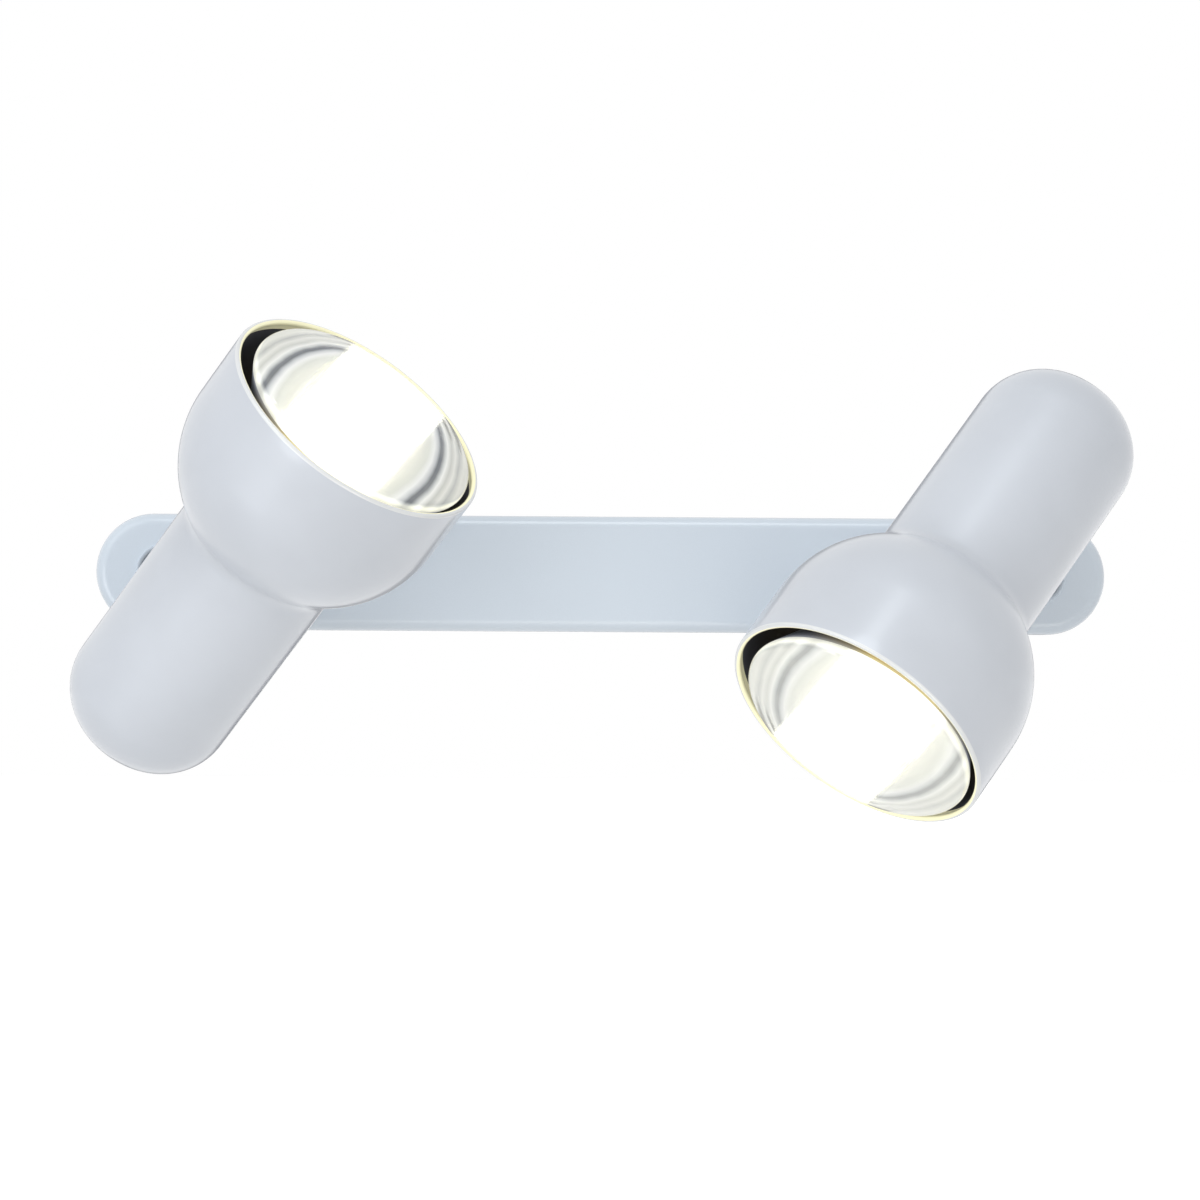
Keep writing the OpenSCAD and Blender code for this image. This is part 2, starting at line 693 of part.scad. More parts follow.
module lampholder() {
    waist = 1.2;
    color(porcelain) difference() {
        rotate_extrude() difference() {
            union() {
                translate([0, holder_rear_z]) square([holder_r - 2, 6]);
                translate([0, holder_rear_z + 4]) square([holder_r, holder_mouth_z - holder_rear_z - 4]);
                translate([holder_r - 2, holder_rear_z + 2]) circle(r = 2, $fn = 32);
                translate([holder_r - 2, holder_rear_z + 2]) square([2, 2.5]);
                translate([0, holder_mouth_z - 5]) square([holder_mouth_r, 4]);
                translate([0, holder_mouth_z - 1 - eps]) square([holder_mouth_r - 1, 1 + eps]);
                translate([holder_mouth_r - 1, holder_mouth_z - 1]) circle(r = 1, $fn = 24);
            }
            translate([holder_r + waist, (holder_rear_z + holder_mouth_z) / 2])
                circle(r = 2 * waist, $fn = 32);
            translate([-eps, holder_floor_z]) square([shell_bore_r + eps, shade_len]);
        }
        for (s = [-1, 1]) {
            translate([s * holder_screw_x, 0, holder_rear_z - eps])
                cylinder(h = 7, r = holder_screw_r + seat_gap);
            translate([s * lead_gap / 2, holder_r - 6, terminal_z]) rotate([-90, 0, 0])
                cylinder(h = 10, r = lead_r + 0.2);
        }
    }
}

module screw_shell() {
    color(brass) difference() {
        translate([0, 0, cap_rear_z + 1]) ring(shell_r, shell_r - shell_t, holder_mouth_z - cap_rear_z - 2.5);
        for (a = [0, 180]) rotate(a) translate([shell_r, 0, holder_mouth_z]) cube([4, 3, 6], center = true);
    }
}

module spring_contact() {
    strip = 0.5;
    low = holder_floor_z + seat_gap;
    high = contact_z - seat_gap - strip;
    color(brass) translate([-2.5, 0, 0]) rotate([90, 0, 90]) linear_extrude(5)
        polygon([[-10, low], [-4, low], [1, high], [4, high], [4, high + strip],
            [1 - strip / 4, high + strip], [-4 - strip / 4, low + strip], [-10, low + strip]]);
}

module head_leads() {
    for (i = [0, 1]) color(i == 0 ? "sienna" : "royalblue") translate([(i - 0.5) * lead_gap, 0, 0])
        core([[0, holder_r - 5, terminal_z], [0, lead_run_y, terminal_z], [0, lead_run_y, 0],
            [0, tube_r, 0]], lead_r);
}

// Lamp
module lamp_cap() {
    color([0.82, 0.82, 0.80]) rotate_extrude() polygon([
        [cap_r, cap_front_z], [cap_r, cap_rear_z], [vitrite_r + 0.5, cap_rear_z - 2],
        [vitrite_r + seat_gap, cap_rear_z - 2], [vitrite_r + seat_gap, cap_rear_z - 1],
        [cap_r - cap_t, cap_rear_z + 0.4], [cap_r - cap_t, cap_front_z]]);
}

module lamp_insulator() {
    color("black") rotate_extrude() polygon([
        [0, cap_rear_z], [vitrite_r, cap_rear_z], [vitrite_r, cap_rear_z - 2],
        [contact_r + 0.6, contact_z + 0.6], [contact_r + seat_gap, contact_z + 0.6],
        [contact_r + seat_gap, contact_z + 1.6], [0, contact_z + 1.6]]);
}

module lamp_contact() {
    color("silver") rotate_extrude() polygon(concat(
        arc(0, lean_z, contact_dome_r, -90, asin(contact_r / contact_dome_r) - 90, 5),
        [[contact_r, contact_z + 1.6 - seat_gap], [0, contact_z + 1.6 - seat_gap]]));
}

// Outline of the bulb from its seal in the cap to the face, drawn inwards by inset
function bowl_point(r, inset) = [r - inset * cos(atan(2 * mirror_f / r)),
    pow(r, 2) / (4 * mirror_f) + bowl_z + inset * sin(atan(2 * mirror_f / r))];

function bulb_outline(inset) = concat(
    [[seal_r - inset, cap_rear_z + 6], [seal_r - inset, cap_front_z + 0.5],
        [neck_r - 1.5 - inset, cap_front_z + 9], [neck_r - inset, neck_z - 2]],
    [for (i = [0 : 9]) bowl_point(neck_r + (bowl_r - neck_r) * i / 10, inset)],
    arc(edge_x, wide_z, edge_r - inset, -bowl_slope, 90 - face_angle, 5),
    arc(0, face_z - face_r, face_r - inset, 90 - face_angle * 0.8, 90, 4));

module lamp_glass() {
    color([0.95, 0.96, 0.97]) rotate_extrude()
        polygon(concat(bulb_outline(0), backwards(bulb_outline(glass_t))));
}

module lamp_stem() {
    foot_z = cap_rear_z + 8;
    top_z = filament_z - 14;
    rod_rise = filament_z - filament_r - 0.4 - top_z + 2;
    color([0.9, 0.93, 0.95]) {
        rotate_extrude() polygon([[0, foot_z], [stem_foot_r, foot_z], [stem_foot_r, foot_z + 1.5],
            [stem_r, foot_z + 12], [stem_r, top_z], [0, top_z]]);
        for (a = [0, 120, 240]) rotate(a) translate([1.2, 0, top_z - 2])
            rotate([0, atan2(filament_ring_r - 1.2, rod_rise), 0])
                cylinder(h = norm([filament_ring_r - 1.2, rod_rise]), r = support_r, $fn = 24);
    }
}

module lamp_filament() {
    color("gold") translate([0, 0, filament_z]) rotate(-15) rotate_extrude(angle = 270)
        translate([filament_ring_r, 0]) circle(r = filament_r, $fn = 24);
}

bar_cover();
mounting_strap();
cover_pillars();
cover_screws();
terminal_block();
terminal_screws();
cable_grommet();
earth_screw();
earth_lead();
bar_leads(-1);  // left_bar_leads
bar_leads(1);  // right_bar_leads
on_swivel(left) swivel_base();  // left_swivel_base
on_swivel(left) lock_washer();  // left_lock_washer
on_swivel(left) lock_nut();  // left_lock_nut
on_swivel(left) hinge_screw();  // left_hinge_screw
on_swivel(left) hinge_washer();  // left_hinge_washer
on_swivel(left) hinge_nut();  // left_hinge_nut
on_swivel(left) swivel_leads();  // left_swivel_leads
on_head(left) knuckle_arm();  // left_knuckle_arm
on_head(left) saddle();  // left_saddle
on_head(left) shade();  // left_shade
on_bracket(left) holder_bracket();  // left_holder_bracket
on_bracket(left) inner_washer();  // left_inner_washer
on_bracket(left) shade_nut();  // left_shade_nut
on_bracket(left) holder_screws();  // left_holder_screws
on_bracket(left) lampholder();  // left_lampholder
on_bracket(left) screw_shell();  // left_screw_shell
on_bracket(left) spring_contact();  // left_spring_contact
on_bracket(left) head_leads();  // left_head_leads
on_lamp(left) lamp_cap();  // left_lamp_cap
on_lamp(left) lamp_insulator();  // left_lamp_insulator
on_lamp(left) lamp_contact();  // left_lamp_contact
on_lamp(left) lamp_glass();  // left_lamp_glass
on_lamp(left) lamp_stem();  // left_lamp_stem
on_lamp(left) lamp_filament();  // left_lamp_filament
on_swivel(right) swivel_base();  // right_swivel_base
on_swivel(right) lock_washer();  // right_lock_washer
on_swivel(right) lock_nut();  // right_lock_nut
on_swivel(right) hinge_screw();  // right_hinge_screw
on_swivel(right) hinge_washer();  // right_hinge_washer
on_swivel(right) hinge_nut();  // right_hinge_nut
on_swivel(right) swivel_leads();  // right_swivel_leads
on_head(right) knuckle_arm();  // right_knuckle_arm
on_head(right) saddle();  // right_saddle
on_head(right) shade();  // right_shade
on_bracket(right) holder_bracket();  // right_holder_bracket
on_bracket(right) inner_washer();  // right_inner_washer
on_bracket(right) shade_nut();  // right_shade_nut
on_bracket(right) holder_screws();  // right_holder_screws
on_bracket(right) lampholder();  // right_lampholder
on_bracket(right) screw_shell();  // right_screw_shell
on_bracket(right) spring_contact();  // right_spring_contact
on_bracket(right) head_leads();  // right_head_leads
on_lamp(right) lamp_cap();  // right_lamp_cap
on_lamp(right) lamp_insulator();  // right_lamp_insulator
on_lamp(right) lamp_contact();  // right_lamp_contact
on_lamp(right) lamp_glass();  // right_lamp_glass
on_lamp(right) lamp_stem();  // right_lamp_stem
on_lamp(right) lamp_filament();  // right_lamp_filament
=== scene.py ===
# %% [markdown]
# A wall spotlight bar: a pressed steel bar with round ends and two spun shades, each on its own swivel
# and each with a lit reflector lamp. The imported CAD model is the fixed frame. It already holds every
# piece at its real size and place, so this script only dresses it: it gives the shells that show most
# smooth meshes of their own, adds the small forms that CAD leaves out, and paints everything.

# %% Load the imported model
import json
from math import acos, asin, atan, atan2, cos, degrees, hypot, pi, radians, sin, sqrt

import bmesh
import bpy
from mathutils import Matrix, Vector


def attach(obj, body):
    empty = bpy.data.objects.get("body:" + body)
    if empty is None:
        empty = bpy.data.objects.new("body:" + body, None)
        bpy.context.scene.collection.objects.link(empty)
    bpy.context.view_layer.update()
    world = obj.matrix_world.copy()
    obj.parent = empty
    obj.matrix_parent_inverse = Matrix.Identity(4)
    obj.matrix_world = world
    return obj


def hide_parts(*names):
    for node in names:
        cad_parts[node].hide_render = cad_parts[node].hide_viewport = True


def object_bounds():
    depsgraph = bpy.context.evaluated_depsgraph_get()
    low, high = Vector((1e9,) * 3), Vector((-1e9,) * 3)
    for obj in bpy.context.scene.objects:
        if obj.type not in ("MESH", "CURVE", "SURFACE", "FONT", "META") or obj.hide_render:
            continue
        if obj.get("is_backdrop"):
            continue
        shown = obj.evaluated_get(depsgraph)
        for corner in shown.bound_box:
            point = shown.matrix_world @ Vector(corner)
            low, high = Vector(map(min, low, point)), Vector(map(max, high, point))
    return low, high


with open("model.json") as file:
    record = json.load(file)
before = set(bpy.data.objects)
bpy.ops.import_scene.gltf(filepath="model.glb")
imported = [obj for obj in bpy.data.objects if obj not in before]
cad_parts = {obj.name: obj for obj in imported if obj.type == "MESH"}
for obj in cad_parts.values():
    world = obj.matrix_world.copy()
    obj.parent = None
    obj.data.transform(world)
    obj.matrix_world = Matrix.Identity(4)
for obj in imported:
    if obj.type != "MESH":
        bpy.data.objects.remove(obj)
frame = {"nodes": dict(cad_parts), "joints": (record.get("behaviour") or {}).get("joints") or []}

cad_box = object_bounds()
nodes = frame["nodes"]
joints = {joint["name"]: joint for joint in frame["joints"]}
print("CAD nodes:", len(nodes), "and joints:", sorted(joints))

# %% [markdown]
# Blender works in metres and a lighting maker in millimetres. Each size below is a driving size of the
# real object, written in millimetres times MM. The places of the two swivels come from the frame's own
# joints, so the dress can't drift away from the model that it covers.

# %% Sizes of the bar, the shades and the lamps
MM = 0.001

bar_len, bar_h, bar_t, bar_edge_r = 350 * MM, 40 * MM, 1 * MM, 4 * MM
dimple_r, dimple_depth, dimple_x, dimple_mouth = 7 * MM, 2.6 * MM, 151.5 * MM, 9.2 * MM
swivel_hole_r, screw_hole_r = 5.06 * MM, 2.15 * MM

rim_r, tube_r, shade_len = 45.75 * MM, 28.5 * MM, 152 * MM
skirt_len, shoulder_r, neck_fillet, rear_r = 25 * MM, 42 * MM, 8 * MM, 22 * MM
shade_t, lip_r, rim_reach = 1 * MM, 1 * MM, 95 * MM

lamp_r, lamp_proud, face_h, edge_r = 40.5 * MM, 10 * MM, 10 * MM, 3 * MM
mirror_f, glass_t, neck_r, seal_r = 10 * MM, 1 * MM, 17 * MM, 12.5 * MM
lamp_len, contact_dome_r = 114 * MM, 13.25 * MM

pan = {side: Vector(joints[side + "_pan"]["pos_m"]) for side in ("left", "right")}
hinge = {side: Vector(joints[side + "_tilt"]["pos_m"]) for side in ("left", "right")}
bar_d = -pan["left"].y
hinge_out = pan["left"].y - hinge["left"].y
hinge_y = tube_r + 19.5 * MM

# %% [markdown]
# Each shade stands in its own frame: z runs along its axis towards the rim, and z = 0 is where the
# swivel's nipple enters the tube. The matrices below put such a frame on the wall, in the same steps
# as the real thing is aimed: turn the swivel on the bar, then tilt the shade at the hinge. The holder
# has sagged a little on its bracket, and the lamp leans in the holder by the play of its screw shell,
# so each of them has a frame of its own. That is why the dark gap round a lamp isn't even.

# %% Frames of the swivels, shades and lamps
turn = {"left": radians(38), "right": radians(180 + 37)}
rise = {"left": radians(28), "right": radians(27)}
sag = {"left": radians(1.6), "right": radians(-0.7)}
lean = {"left": radians(0.6), "right": radians(-0.6)}
contact_z = rim_reach + lamp_proud - lamp_len
wide_z = rim_reach + lamp_proud - face_h


def swivel_frame(side):
    """Swivel's own frame: z = 0 on the bar's front, y the way the shade points."""
    aimed = Matrix.Rotation(turn[side], 4, "Y") @ Matrix.Rotation(pi / 2, 4, "X")
    return Matrix.Translation(pan[side]) @ aimed


def head_frame(side):
    """Shade's own frame: z along its axis, the hinge at y = hinge_y."""
    at_hinge = swivel_frame(side) @ Matrix.Translation((0, 0, hinge_out))
    tilt = Matrix.Rotation(rise[side] - pi / 2, 4, "X")
    return at_hinge @ tilt @ Matrix.Translation((0, -hinge_y, 0))


def holder_frame(side):
    """Lampholder's own frame, turned by its sag about the nipple."""
    return head_frame(side) @ Matrix.Rotation(sag[side], 4, "Y")


def lamp_frame(side):
    """Lamp's own frame, leaning in its holder about the centre of its round contact."""
    seat = Matrix.Translation((0, 0, contact_z + contact_dome_r))
    return holder_frame(side) @ seat @ Matrix.Rotation(lean[side], 4, "X") @ seat.inverted()


for side in ("left", "right"):
    axis = head_frame(side).to_3x3() @ Vector((0, 0, 1))
    print(side, "shade points to", [round(value, 3) for value in axis])

# %% [markdown]
# The camera comes from a fit: the outlines of the bar and of both shades were measured in the
# photograph, and the camera's distance, angles and focal length were changed until the model's
# outlines fell on them. It stands 1.5 m away, almost square to the wall, and looks through a long
# lens, so the picture has nearly no perspective.

# %% Camera
image_px = 1200
focal_px = 4325
sensor = 36
target = Vector((-0.13 * MM, 0, -8.73 * MM))
distance = 1.517
azimuth, elevation, roll = radians(-0.997), radians(-0.762), radians(0.354)

back = Vector((sin(azimuth) * cos(elevation), -cos(azimuth) * cos(elevation), sin(elevation)))
right = Vector((0, 0, 1)).cross(back).normalized()
up = back.cross(right)
rolled_right = cos(roll) * right + sin(roll) * up
rolled_up = cos(roll) * up - sin(roll) * right

camera = bpy.data.objects.new("camera", bpy.data.cameras.new("camera"))
bpy.context.scene.collection.objects.link(camera)
camera.data.sensor_width = sensor
camera.data.lens = focal_px / image_px * sensor
camera.matrix_world = Matrix((rolled_right, rolled_up, back)).transposed().to_4x4()
camera.location = target + back * distance
bpy.context.scene.camera = camera
print("camera at", [round(value, 3) for value in camera.location], "lens", round(camera.data.lens, 1), "mm")

# %% [markdown]
# Materials and Geometry Nodes are both graphs of nodes. Wiring them by hand hides the idea, so this
# class lets a formula be written as a formula: an expression such as 1 - mask * 0.5 adds the Math
# nodes by itself. Vectors and colours go through Vector Math, because a Math node would turn them
# into one number. Any other node comes from Graph.add, which takes its kind, settings and inputs.

# %% Formulas that build nodes


class Field:
    """One output socket, usable in arithmetic."""

    def __init__(self, graph, socket):
        self.graph, self.socket = graph, socket

    def is_vector(self):
        return self.socket.type in ("VECTOR", "RGBA")

    def apply(self, operation, *values):
        vector = any(isinstance(value, Field) and value.is_vector() for value in values)
        kind = "ShaderNodeVectorMath" if vector else "ShaderNodeMath"
        return self.graph.add(kind, {"operation": operation}, values)

    def __add__(self, other):
        return self.apply("ADD", self, other)

    def __radd__(self, other):
        return self.apply("ADD", other, self)

    def __sub__(self, other):
        return self.apply("SUBTRACT", self, other)

    def __rsub__(self, other):
        return self.apply("SUBTRACT", other, self)

    def __mul__(self, other):
        return self.apply("MULTIPLY", self, other)

    def __rmul__(self, other):
        return self.apply("MULTIPLY", other, self)

    def __truediv__(self, other):
        return self.apply("DIVIDE", self, other)

    def __pow__(self, other):
        return self.apply("POWER", self, other)

    def part(self, axis):
        return self.graph.add("ShaderNodeSeparateXYZ", {}, [self], out=axis)

    def absolute(self):
        return self.apply("ABSOLUTE", self)

    def clamp(self):
        return self.graph.add("ShaderNodeClamp", {}, [self])

    def step(self, low, high):
        """0 below low and 1 above high, with a smooth rise between."""
        settings = {"interpolation_type": "SMOOTHSTEP"}
        limits = {"Value": self, "From Min": low, "From Max": high}
        return self.graph.add("ShaderNodeMapRange", settings, limits)


class Graph:
    """A node tree under construction."""

    def __init__(self, tree):
        self.tree = tree

    def put(self, socket, value):
        if isinstance(value, Field):
            self.tree.links.new(value.socket, socket)
        elif socket.type in ("VECTOR", "RGBA") and isinstance(value, (int, float)):
            socket.default_value = [value] * len(socket.default_value)
        elif socket.type == "RGBA" and len(value) == 3:
            socket.default_value = [*value, 1]
        else:
            socket.default_value = value

    def add(self, kind, settings=None, inputs=(), out=0):
        """Adds a node: settings first, then its inputs, by name or in order. Returns one output."""
        node = self.tree.nodes.new(kind)
        for name, value in (settings or {}).items():
            setattr(node, name, value)
        named = inputs.items() if isinstance(inputs, dict) else enumerate(inputs)
        for key, value in named:
            self.put(node.inputs[key], value)
        return Field(self, node.outputs[out])

    def ramp(self, factor, *stops):
        """A colour ramp with (position, colour) stops."""
        node = self.tree.nodes.new("ShaderNodeValToRGB")
        marks = node.color_ramp.elements
        while len(marks) < len(stops):
            marks.new(0.5)
        for mark, (position, colour) in zip(marks, stops):
            mark.position, mark.color = position, [*colour, 1]
        self.put(node.inputs[0], factor)
        return Field(self, node.outputs[0])

    def blend(self, mask, first, second):
        """Colour first where mask is 0 and second where it is 1."""
        node = self.tree.nodes.new("ShaderNodeMix")
        node.data_type = "RGBA"
        self.put(node.inputs["Factor"], mask)
        self.put(node.inputs[6], first)
        self.put(node.inputs[7], second)
        return Field(self, node.outputs[2])


def linear(red, green, blue):
    """The scene's linear colour for a colour as a screen shows it, from 0 to 255."""
    shares = (red / 255, green / 255, blue / 255)
    return [share / 12.92 if share < 0.04045 else ((share + 0.055) / 1.055) ** 2.4 for share in shares]


class Finish(Graph):
    """A material: its patterns read the piece's own coordinates, and its shader is a Principled one."""

    def __init__(self, name, **constants):
        self.material = bpy.data.materials.new(name)
        self.material.use_nodes = True
        super().__init__(self.material.node_tree)
        self.tree.nodes.clear()
        self.shader = self.tree.nodes.new("ShaderNodeBsdfPrincipled")
        self.output = self.tree.nodes.new("ShaderNodeOutputMaterial")
        self.tree.links.new(self.shader.outputs[0], self.output.inputs[0])
        for socket, value in constants.items():
            self.set(socket.replace("_", " "), value)

    def set(self, socket, value):
        self.put(self.shader.inputs[socket], value)

    def object_place(self):
        return self.add("ShaderNodeTexCoord", out="Object")

    def own_place(self):
        """The piece's coordinates in its own frame, kept as an attribute of its mesh."""
        return self.add("ShaderNodeAttribute", {"attribute_name": "place"}, out="Vector")

    def noise(self, place, size, detail=2, out=0):
        """Noise whose blobs are about size across."""
        inputs = {"Vector": place, "Scale": 1 / size, "Detail": detail}
        return self.add("ShaderNodeTexNoise", {}, inputs, out=out)

    def bump(self, height, distance, strength=1.0):
        inputs = {"Height": height, "Distance": distance, "Strength": strength}
        self.set("Normal", self.add("ShaderNodeBump", {}, inputs))


print("a pale paint in linear light:", [round(value, 3) for value in linear(212, 217, 225)])

# %% [markdown]
# The shades wear a satin silver-white lacquer. The colour alone would look like plastic: what makes it
# lacquer on spun metal is a fine orange-peel skin, the faintest rings from the spinning lathe, a gloss
# that wanders a little, and a clear coat over it all. The noise is fed with the shade's own
# coordinates, so the rings stay round the axis however the shade is aimed.

# %% Lacquer of the shades


def lacquer(name, colour, rings, glow=0.0):
    finish = Finish(name, Coat_Roughness=0.16, IOR=1.45)
    place = finish.own_place() if rings else finish.object_place()
    cloud = finish.noise(place, 45 * MM, 3)
    pale = [value * 1.03 for value in colour]
    dark = [value * 0.965 for value in colour]
    finish.set("Base Color", finish.blend(cloud.step(0.3, 0.7), dark, pale))
    peel = finish.noise(place, 0.9 * MM, 2)
    finish.set("Roughness", 0.36 + 0.08 * finish.noise(place, 9 * MM, 3))
    height = peel
    if rings:
        axial = finish.add("ShaderNodeCombineXYZ", {}, [0, 0, place.part(2)])
        height = peel + 1.5 * finish.noise(axial, 0.7 * MM, 2)
    finish.bump(height, 0.012 * MM, 0.5)
    finish.set("Metallic", 0.1)
    finish.set("Coat Weight", 0.8)
    finish.set("Emission Color", colour)
    finish.set("Emission Strength", glow)
    return finish.material


shade_white = linear(206, 211, 219)
shade_lacquer = lacquer("shade_lacquer", shade_white, rings=True)
knuckle_lacquer = lacquer("knuckle_lacquer", shade_white, rings=False)

# %% [markdown]
# The bar is powder coated: a pale blue-grey plastic skin baked onto the steel. Powder flows less than
# lacquer, so its orange peel is coarser and softer. Dust-fine specks keep it from looking computed, and
# its two dimples are painted dark grey inside: painted shade where the recesses fall into shadow.

# %% Powder coat of the bar


def powder_coat(name, colour):
    finish = Finish(name, Coat_Roughness=0.16, IOR=1.5)
    place = finish.object_place()
    cloud = finish.noise(place, 60 * MM, 2)
    speck = finish.noise(place, 0.35 * MM, 1)
    shade = 0.7 * cloud + 0.3 * speck
    dark, pale = [value * 0.98 for value in colour], [value * 1.02 for value in colour]
    paint = finish.blend(shade.step(0.35, 0.65), dark, pale)
    # Painted shade: inside each dimple the paint turns dark grey, with a little noise, where shade gathers.
    across = place.part(0).absolute() - dimple_x
    off_centre = across.apply("SQRT", across * across + place.part(2) * place.part(2))
    dimple_shade = finish.noise(place, 2 * MM, 2) * 0.2 + 0.8 - off_centre.step(dimple_r, dimple_mouth + 0.4 * MM)
    finish.set("Base Color", finish.blend(dimple_shade.clamp(), paint, linear(112, 116, 122)))
    finish.set("Roughness", 0.38 + 0.08 * finish.noise(place, 6 * MM, 3))
    finish.bump(finish.noise(place, 1.3 * MM, 2), 0.02 * MM, 0.5)
    finish.set("Coat Weight", 0.9)
    return finish.material


bar_coat = powder_coat("bar_powder_coat", linear(213, 223, 233))

# %% [markdown]
# Bare metals differ in how they were made. Turned brass and nickel have fine lines, zinc plate has a
# cloudy, faintly mottled skin, and a rolled lamp cap is soft and grey. One function makes them all from
# a colour, a gloss and the size and stretch of its marks, because only those differ.

# %% Metals


def metal(name, colour, rough, mark=0.4 * MM, stretch=(1, 1, 1), depth=0.006 * MM):
    finish = Finish(name, Metallic=1.0)
    place = finish.object_place() * stretch
    cloud = finish.noise(place, 7 * MM, 3)
    marks = finish.noise(place, mark, 3)
    stain = [value * 0.8 for value in colour]
    finish.set("Base Color", finish.blend((0.6 * cloud + 0.4 * marks).step(0.35, 0.65), stain, colour))
    finish.set("Roughness", rough + 0.14 * marks)
    finish.bump(marks, depth, 0.6)
    return finish.material


zinc_plate = metal("zinc_plate", linear(186, 188, 188), 0.3, mark=2.2 * MM)
nickel = metal("nickel", linear(196, 195, 192), 0.18, stretch=(1, 6, 1))
turned_brass = metal("turned_brass", linear(206, 172, 104), 0.2, stretch=(1, 6, 1))
cap_metal = metal("rolled_cap", linear(204, 204, 200), 0.26)
solder_metal = metal("solder", linear(170, 172, 174), 0.34, mark=1.2 * MM, depth=0.03 * MM)

# %% [markdown]
# The hidden parts have plain but true finishes: glazed porcelain for the lampholder and terminal block,
# black glass under the cap, matt rubber, a fine-grained plastic saddle, and silicone sleeves on the
# leads. Each gets the one or two things that give it away, such as specks in a glaze or a dull skin.

# %% Porcelain, plastic, rubber and black glass


def glazed(name, colour, speck_colour, rough):
    finish = Finish(name, Coat_Roughness=0.06, Coat_Weight=0.6)
    place = finish.object_place()
    speck = finish.noise(place, 0.5 * MM, 2).step(0.66, 0.72)
    finish.set("Base Color", finish.blend(speck, colour, speck_colour))
    finish.set("Roughness", rough + 0.1 * finish.noise(place, 5 * MM, 2))
    finish.bump(finish.noise(place, 3 * MM, 2), 0.05 * MM, 0.4)
    return finish.material


def moulded(name, colour, rough, grain=0.25 * MM, depth=0.02 * MM):
    finish = Finish(name)
    place = finish.object_place()
    cloud = finish.noise(place, 8 * MM, 2)
    worn = [value * 0.88 for value in colour]
    finish.set("Base Color", finish.blend(cloud.step(0.3, 0.7), worn, colour))
    finish.set("Roughness", rough + 0.12 * cloud)
    finish.bump(finish.noise(place, grain, 2), depth, 0.5)
    return finish.material


porcelain = glazed("porcelain", linear(240, 236, 226), linear(196, 186, 168), 0.16)
black_glass = glazed("black_glass", linear(24, 24, 30), linear(46, 46, 54), 0.1)
saddle_plastic = moulded("saddle_plastic", linear(206, 208, 210), 0.5)
rubber = moulded("grommet_rubber", linear(36, 36, 38), 0.7)
brown_sleeve = moulded("brown_sleeve", linear(132, 84, 52), 0.45)
blue_sleeve = moulded("blue_sleeve", linear(58, 92, 160), 0.45)

# %% [markdown]
# An earth lead is green with a yellow stripe down each side. The sleeve is a tube swept along a curve,
# and the sweep writes how far round the core each point lies, so the stripe follows the lead's bends.

# %% Earth sleeve


def striped(name, ground, stripe):
    finish = Finish(name, Roughness=0.45)
    around = finish.add("ShaderNodeAttribute", {"attribute_name": "around"}, out=2)
    wave = finish.add("ShaderNodeMath", {"operation": "COSINE"}, [around * (4 * pi)])
    finish.set("Base Color", finish.blend(wave.step(-0.1, 0.1), ground, stripe))
    finish.bump(finish.noise(finish.object_place(), 0.3 * MM, 2), 0.02 * MM, 0.4)
    return finish.material


earth_sleeve = striped("earth_sleeve", linear(60, 130, 60), linear(222, 206, 60))

# %% [markdown]
# Inside, from a few millimetres behind the rim, the shade is painted dark grey: painted shade for the
# depth behind the lamp that its light doesn't reach, and that is why the gap round each lamp looks almost
# black. In front of it the lacquer turns the corner. On the rolled lip it is painted a little whiter, a
# painted highlight, and just inside, the wall is painted warm yellow with a faint glow: painted lamp light.

# %% Lip and painted light and shade inside the shades
# Painted light and shade: a whiter lip as a highlight, a glowing warm wall as lamp light, a dark inside as
# shade.
lip_lacquer = lacquer("lip_lacquer", linear(230, 232, 233), rings=True)
lit_lacquer = lacquer("lit_lacquer", linear(238, 234, 196), rings=True, glow=0.3)
dark_inside = moulded("dark_inside", linear(84, 86, 96), 0.62, grain=0.6 * MM, depth=0.03 * MM)

# %% [markdown]
# A reflector lamp is one glass bulb. Its bowl is silvered on the inside, and the filament's mirror
# image stretches into one white band across it: the bowl glows white in a fixed band, fading at its
# edges, a painted reflection of the filament. Beside the band the face has the mould's ripples, and grey
# and white arcs painted into its colour as reflections of the room, fainter on the right lamp. Its round
# edge is painted glowing, and where the silver ends its back glows gold and grey: painted lamp light.

# %% Silvered bowl and rippled face
band_half = 19 * MM


def beside_band(finish, place, soft):
    """0 in the white band across the lamp and 1 beside it, with a slightly uneven edge."""
    across = place.part(0) + 1.6 * MM * (finish.noise(place, 16 * MM, 1) - 0.5)
    return across.absolute().step(band_half - soft, band_half + soft)


def silvered(name):
    finish = Finish(name, Metallic=1.0)
    place = finish.own_place()
    ripple = finish.noise(place, 9 * MM, 3)
    silver, tarnish = linear(232, 232, 226), linear(170, 172, 172)
    finish.set("Base Color", finish.blend(ripple.step(0.4, 0.7), silver, tarnish))
    finish.set("Roughness", 0.16 + 0.12 * ripple)
    finish.bump(ripple, 0.3 * MM, 0.4)
    beside = beside_band(finish, place, 2 * MM)
    # Painted reflection of the filament: the bowl glows warm white in the band and not beside it.
    finish.set("Emission Color", finish.blend(beside, linear(255, 252, 242), (0, 0, 0)))
    finish.set("Emission Strength", 3.0)
    return finish.material


